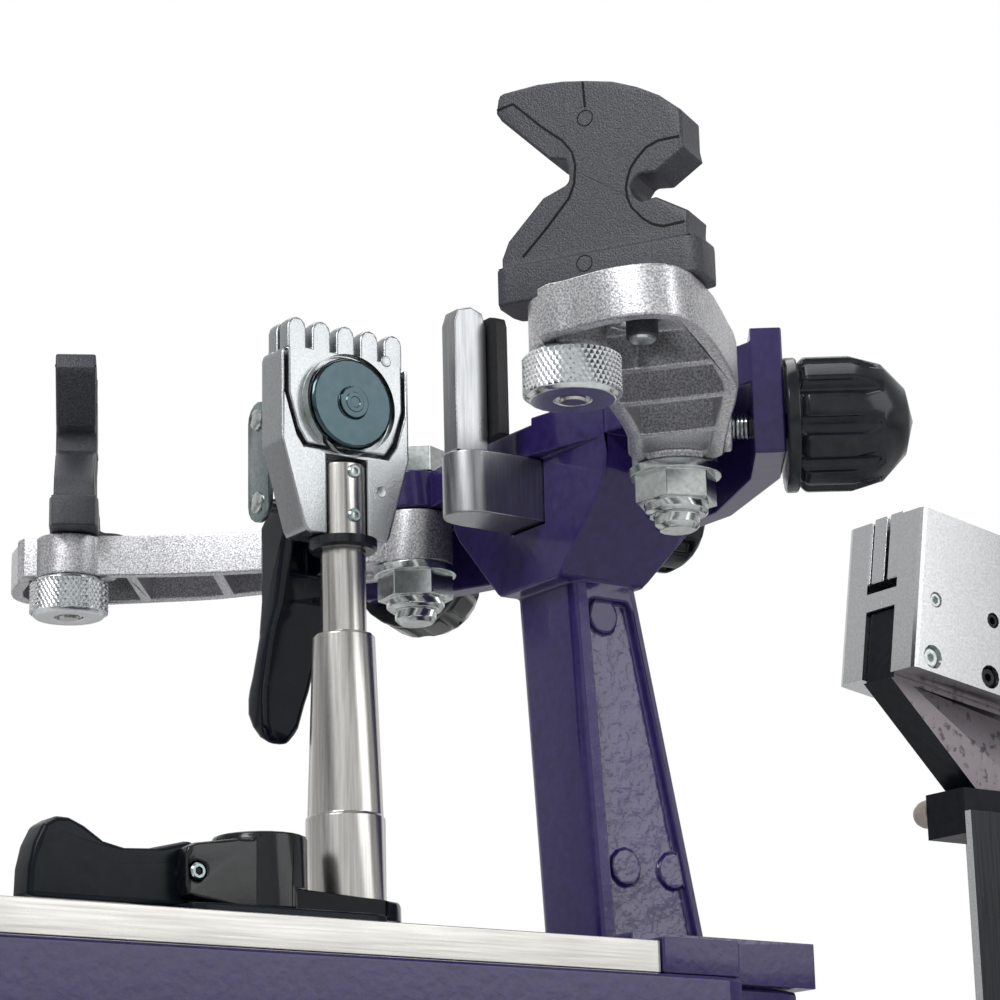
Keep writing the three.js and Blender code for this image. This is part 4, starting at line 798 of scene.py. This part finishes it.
def pill(length, radius, steps=8):
    """The outline of a slot with round ends, whose centres are at X = 0 and X = length."""
    right = [(length + radius * math.cos(a), radius * math.sin(a))
             for a in (math.pi * (i / steps - 0.5) for i in range(steps + 1))]
    left = [(-x + length, -y) for x, y in right]
    return right + left


link_radius, link_thick, link_edge = 0.0052, 0.0018, 0.0003
hinge_y, hinge_z, link_top = post_y + 0.0168, 0.3375, 0.3605
rivet_profile = [(0, -0.0078), (0.0020, -0.0078), (0.0020, 0.0001), (0.0029, 0.0001),
                 (0.0029, 0.0006), (0.0021, 0.0011), (0, 0.0012)]
for side, word, link_reach in ((-1, "left", 0.0160), (1, "right", 0.0125)):
    link = plate_of(f"link_{word}", pill(link_top - hinge_z, link_radius), link_thick, link_edge)
    face_x = post_x + side * link_reach
    placed(link, Matrix(((0, 0, side, face_x), (0, side, 0, hinge_y),
                         (-1, 0, 0, link_top), (0, 0, 0, 1))))
    at_both_clamps(link, "swing", link_steel)
    for rank, height in (("top", link_top), ("low", hinge_z)):
        rivet = spun(f"rivet_{word}_{rank}", rivet_profile, steps=24)
        set_down(rivet, (face_x, hinge_y, height), (side, 0, 0))
        at_both_clamps(rivet, "swing", bright_zinc)
toggle_half, toggle_near, toggle_far = 0.0092, 0.0086, 0.0040
toggle_low, toggle_high, toggle_edge = 0.3555, 0.3655, 0.0012
toggle = plate_of("toggle_block", [(-toggle_half, -toggle_near), (toggle_half, -toggle_near),
                                   (toggle_half, toggle_far), (-toggle_half, toggle_far)],
                  toggle_high - toggle_low, toggle_edge)
set_down(toggle, (post_x, hinge_y, toggle_high))
at_both_clamps(toggle, "swing", dull_cast)
print("links and rivets", count_of("link_", "rivet_"))

# %% [markdown]
# Small round marks on the clamp's castings are left by the pins that push them out of the
# mould. A low turned dish with a raised rim is enough to catch the light as they do.

# %% Mould marks of the clamp
mark_profile = [(0, 0.00015), (0.0012, 0.00015), (0.0014, 0.0002), (0.0016, 0.00005),
                (0.0016, -0.0002), (0, -0.0002)]
mark_depth = 0.0024
for name, body, reach, height in (("head_mark", "swing", 0.0107, 0.3397),
                                  ("jaw_mark", "jaw", 0.0128, 0.3766)):
    clamp_mark = spun(name, mark_profile, steps=20)
    set_down(clamp_mark, (post_x + reach, post_y - mark_depth, height), to_near_side)
    at_both_clamps(clamp_mark, body, dull_cast)
print("mould marks", count_of("head_mark", "jaw_mark"))

# %% [markdown]
# Each notched block is moulded round two softer liners, and the joint between them shows as a
# fine dark line. A cut into the block would need a finer mesh there, so each line is a thin
# strip, half sunk in the face. The block's own directions are along the wall, up, and out of
# the wall, and its lines are in millimetres.

# %% Block seams
pivot_x, pivot_y, nut_low = middle("pivot_bolt_head_near")
arm_bearing, block_turn = math.radians(-142), math.radians(-9)
block_foot, block_out, block_face = 0.3489, 0.0087, 0.0058
block_matrix = (Matrix.Translation((thumb_x, thumb_y, block_foot))
                @ Matrix.Rotation(arm_bearing, 4, "Z") @ Matrix.Translation((0, block_out, 0))
                @ Matrix.Rotation(block_turn, 4, "Z"))
block_sides = ((1, "front"), (-1, "rear"))
mm_in_metre = 1000


def ribbon(name, points, width, thick):
    """A thin solid strip along a line, lying half above and half below Z = 0."""
    left, right = [], []
    for number, (x, y) in enumerate(points):
        before = Vector(points[max(number - 1, 0)])
        after = Vector(points[min(number + 1, len(points) - 1)])
        run = (after - before).normalized() * width / 2
        left.append((x - run.y, y + run.x))
        right.append((x + run.y, y - run.x))
    piece = plate_of(name, left + right[::-1], thick)
    return set_down(piece, (0, 0, thick / 2))


outer_seam = [(21.6, 32.9), (16.4, 32.9), (13.4, 31.8), (11.0, 29.6), (9.4, 27.5), (8.5, 25.0),
              (8.1, 22.9), (8.4, 20.4), (9.4, 18.0), (12.0, 14.9), (14.2, 13.2), (16.8, 12.2),
              (21.9, 12.4)]
inner_seam = [(-23.6, 48.3), (-19.5, 49.1), (-12.3, 41.9), (-7.3, 37.6), (-4.9, 34.3),
              (-4.2, 30.9), (-4.6, 26.5), (-6.1, 23.1), (-12.2, 16.6), (-18.0, 11.0)]
mould_line = [(-1.7, 51.0), (-1.3, 44.6)]
seam_width, seam_thick = 0.0005, 0.0003
onto_side = Matrix(((0, 0, 1, 0), (1, 0, 0, 0), (0, 1, 0, 0), (0, 0, 0, 1)))
for line_name, line in (("outer", outer_seam), ("inner", inner_seam), ("mould", mould_line)):
    for side, word in block_sides:
        points = [(along / mm_in_metre, up / mm_in_metre) for along, up in line]
        seam = ribbon(f"seam_{line_name}_{word}", points, seam_width, seam_thick)
        placed(seam, block_matrix @ Matrix.Translation((side * block_face, 0, 0)) @ onto_side)
        at_all_arms(seam, "k_block", seam_dark)
print("seams", count_of("seam"))

# %% [markdown]
# The blocks too were pushed out of their mould by pins, which leave a ring high up and one on
# the foot, where the face stands 1.2 mm further out. A plated cap ends the block's guide pin,
# which comes through the arm's curved slot beside the thumb screw.

# %% Block marks and guide caps
eject_profile = [(0.0017, -0.0003), (0.0018, 0.0001), (0.0020, 0.0001), (0.0021, -0.0003)]
eject_marks = [(-1.4, 41.9, 0.0), (-2.2, 6.4, 1.2)]
for number, (along, up, out) in enumerate(eject_marks):
    for side, word in block_sides:
        mark = spun(f"eject_{number}_{word}", eject_profile, steps=24)
        set_down(mark, (side * (block_face + out / mm_in_metre), along / mm_in_metre,
                        up / mm_in_metre), (side, 0, 0))
        placed(mark, block_matrix)
        at_all_arms(mark, "k_block", seam_dark)
guide_reach = 0.0168
guide_turn = arm_bearing + math.radians(119)
block_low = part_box("k_block_head_near")[0][2]
guide_cap = spun("guide_cap", [(0, 0.0004), (0.0030, 0.0004), (0.0032, 0), (0.0030, -0.0006),
                               (0, -0.0006)], steps=24)
set_down(guide_cap, (thumb_x + guide_reach * math.cos(guide_turn),
                     thumb_y + guide_reach * math.sin(guide_turn), block_low))
at_all_arms(guide_cap, "k_block", bright_zinc)
print("marks and caps", count_of("eject", "guide_cap"))

# %% [markdown]
# A screw thread is a fine V groove that runs round a shank. Where a thread shows between an ear
# and its arm, or below a lock nut, a sleeve of V rings stands for it: the turns are under a
# millimetre apart, so nobody sees that they don't climb.


# %% Threads
def threaded(name, radius, length, pitch, depth):
    """An open sleeve about Z from Z = 0 with V rings."""
    profile = [(radius, 0)]
    for turn in range(round(length / pitch)):
        profile += [(radius + depth, (turn + 0.5) * pitch), (radius, (turn + 1) * pitch)]
    return spun(name, profile, steps=24)


screw_bearing = math.radians(-37)
screw_place = Vector((axis_x + 0.1846, -0.0862, 0.3436))
stem_start = 0.0086
inward = Vector((-math.cos(screw_bearing), -math.sin(screw_bearing), 0))
stem_thread = threaded("screw_thread", radius=0.0030, length=0.0095, pitch=0.00095, depth=0.0004)
set_down(stem_thread, screw_place + inward * stem_start, inward)
at_all_arms(stem_thread, "screw_knob", bright_zinc)
bolt_rise = 0.0006
bolt_thread = threaded("bolt_thread", radius=0.0047, length=0.0028, pitch=0.0009, depth=0.0004)
set_down(bolt_thread, (pivot_x, pivot_y, nut_low + bolt_rise))
at_all_arms(bolt_thread, "turntable", bright_zinc)
print("threads", count_of("screw_thread", "bolt_thread"))

# %% [markdown]
# The gripper is a ground block split down the middle and held together by set screws, and two
# pins fix it on the brake arm. It leans back on the arm, so a helper turns the block's own
# length and height into a place on its side face.

# %% Gripper screws
grip_low, grip_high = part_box("gripper_body")
grip_half = abs(grip_low[1])
lean, lean_shift = math.radians(9), 0.00776
grip_origin = Vector((grip_low[0] + lean_shift, 0, grip_high[2]))


def on_gripper(along, drop, side, sunk):
    """A point behind the gripper's side face, from its own length and height."""
    x = along * math.cos(lean) - drop * math.sin(lean)
    z = -along * math.sin(lean) - drop * math.cos(lean)
    return grip_origin + Vector((x, side * (grip_half - sunk), z))


hole_along, hole_pitch = 0.007, 0.023
screw_drop, screw_sunk = 0.0274, 0.0004
pin_drop, pin_sunk = 0.045, 0.0010
for side, word in ((-1, "near"), (1, "far")):
    facing = (0, side, 0)
    for rank, metal in enumerate((bright_zinc, black_enamel)):
        along = hole_along + rank * hole_pitch
        set_screw = socket_screw(f"grip_screw_{word}_{rank}", radius=0.0023, length=0.0030)
        set_down(set_screw, on_gripper(along, screw_drop, side, screw_sunk), facing)
        settle(set_screw, "rocker", metal)
        pin = socket_screw(f"grip_pin_{word}_{rank}", radius=0.0035, length=0.0040,
                           hole_share=0.4, chamfer_share=0.3)
        set_down(pin, on_gripper(along, pin_drop, side, pin_sunk), facing)
        settle(pin, "rocker", metal)
print("gripper screws and pins", count_of("grip_screw", "grip_pin"))

# %% [markdown]
# A domed rubber bumper on the brake arm's far side stops it. Below the jaws a short bright strip
# shows where the two halves of the block meet. The jaws themselves end above that place in the
# photograph, so the feet of their visible copies are lifted along the lean.

# %% Bumper, joint and jaw feet
bumper_reach, bumper_side, bumper_z = 0.3201, 0.008, 0.2692
bumper = spun("bumper", [(0, 0.0082), (0.0017, 0.0078), (0.0032, 0.0066), (0.0041, 0.0048),
                         (0.0044, 0.0024), (0.0044, 0), (0, 0)], steps=24)
set_down(bumper, (axis_x + bumper_reach, bumper_side, bumper_z), (0, 1, 0))
settle(bumper, "rocker", bumper_beige)

joint_half, joint_length, joint_thick = 0.0002, 0.0050, 0.0003
joint_drop, joint_rise = 0.0285, 0.0002
joint_top = on_gripper(0, joint_drop, -1, 0)
onto_front = Matrix(((0, 0, -1, 0), (1, 0, 0, 0), (0, 1, 0, 0), (0, 0, 0, 1)))
joint = plate_of("grip_joint", [(-joint_half, 0), (joint_half, 0), (joint_half, joint_length),
                                (-joint_half, joint_length)], joint_thick)
placed(joint, Matrix.Translation((joint_top.x - joint_rise, 0, joint_top.z))
       @ Matrix.Rotation(lean, 4, "Y") @ onto_front)
settle(joint, "rocker", bright_zinc)

foot_drop, foot_lift = 0.018, 0.0034
lifted = 0
for word in ("near", "far"):
    for vertex in made_pieces[f"gripper_jaw_{word}"].data.vertices:
        from_origin = vertex.co - grip_origin
        drop = -from_origin.z * math.cos(lean) - from_origin.x * math.sin(lean)
        if drop > foot_drop:
            vertex.co.z += foot_lift * math.cos(lean)
            vertex.co.x += foot_lift * math.sin(lean)
            lifted += 1
print("points of the jaw feet", lifted)

# %% [markdown]
# Some solids show two finishes. The brake arm's sides get a lighter mottled grey, which is
# painted light on its lit sides; the bracket's plates are bright along their cut edges; and the
# masts' side faces carry the rougher paint, whose lighter purple is painted light too. A second
# material on the faces that a test picks does this without cutting the solid in two.

# %% Second finishes
side_slope, panel_slope = 0.7, 0.9
arm_half, arm_low = 0.0066, 0.262
panel_low, panel_high = 0.217, 0.302


def second_finish(node, material, wanted):
    """Gives the faces that the test picks a second finish."""
    piece = made_pieces[node]
    piece.data.materials.append(material)
    chosen = [face for face in piece.data.polygons if wanted(face)]
    for face in chosen:
        face.material_index = 1
    return len(chosen)


def on_arm_side(face):
    """A side face of the brake arm above the bracket."""
    sideways = abs(face.normal.y) > side_slope and abs(face.center.y) < arm_half
    return sideways and face.center.z > arm_low


def on_cut_edge(face):
    """A face of the bracket that doesn't look sideways."""
    return abs(face.normal.y) < side_slope


def on_panel(face):
    """A side face of a mast between the lower and upper ends of its panels."""
    return abs(face.normal.y) > panel_slope and panel_low < face.center.z < panel_high


# The brake arm's lighter grey sides are painted light.
# The rough paint's lighter purple on the masts' side faces is painted light.
print("faces of a second finish", second_finish("rocker", side_cast, on_arm_side),
      second_finish("side_bracket", bright_block, on_cut_edge),
      second_finish("mast_head", rough_paint, on_panel),
      second_finish("mast_throat", rough_paint, on_panel))

# %% [markdown]
# The slotted plate is held on the turntable by flush screws near its corners, and two more
# screws sit in the rail's end. They are the same socket screws, sunk until only their faces
# show.

# %% Flush screws
plate_low, plate_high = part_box("glide_plate")
plate_inset, plate_mid = 0.009, (plate_low[0] + plate_high[0]) / 2
flush_z = plate_high[2] + 0.0001
corners = [(x, y) for x in (plate_low[0], plate_high[0]) for y in (plate_low[1], plate_high[1])]
for number, (x, y) in enumerate(corners):
    flush = socket_screw(f"plate_screw_{number}", radius=0.0032, length=0.0030)
    set_down(flush, (x + math.copysign(plate_inset, plate_mid - x),
                     y - math.copysign(plate_inset, y), flush_z))
    settle(flush, "turntable", bright_zinc)
rail_low, rail_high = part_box("tension_rail")
rail_end, rail_mid = rail_high[0] + 0.0002, (rail_low[2] + rail_high[2]) / 2
rail_screw_y = rail_high[1] * 0.6
for number, side in enumerate((-1, 1)):
    rail_screw = socket_screw(f"rail_screw_{number}", radius=0.0030, length=0.0040)
    set_down(rail_screw, (rail_end, side * rail_screw_y, rail_mid), (1, 0, 0))
    settle(rail_screw, body_of_node["tension_rail"], bright_zinc)
print("flush screws", count_of("plate_screw", "rail_screw"))
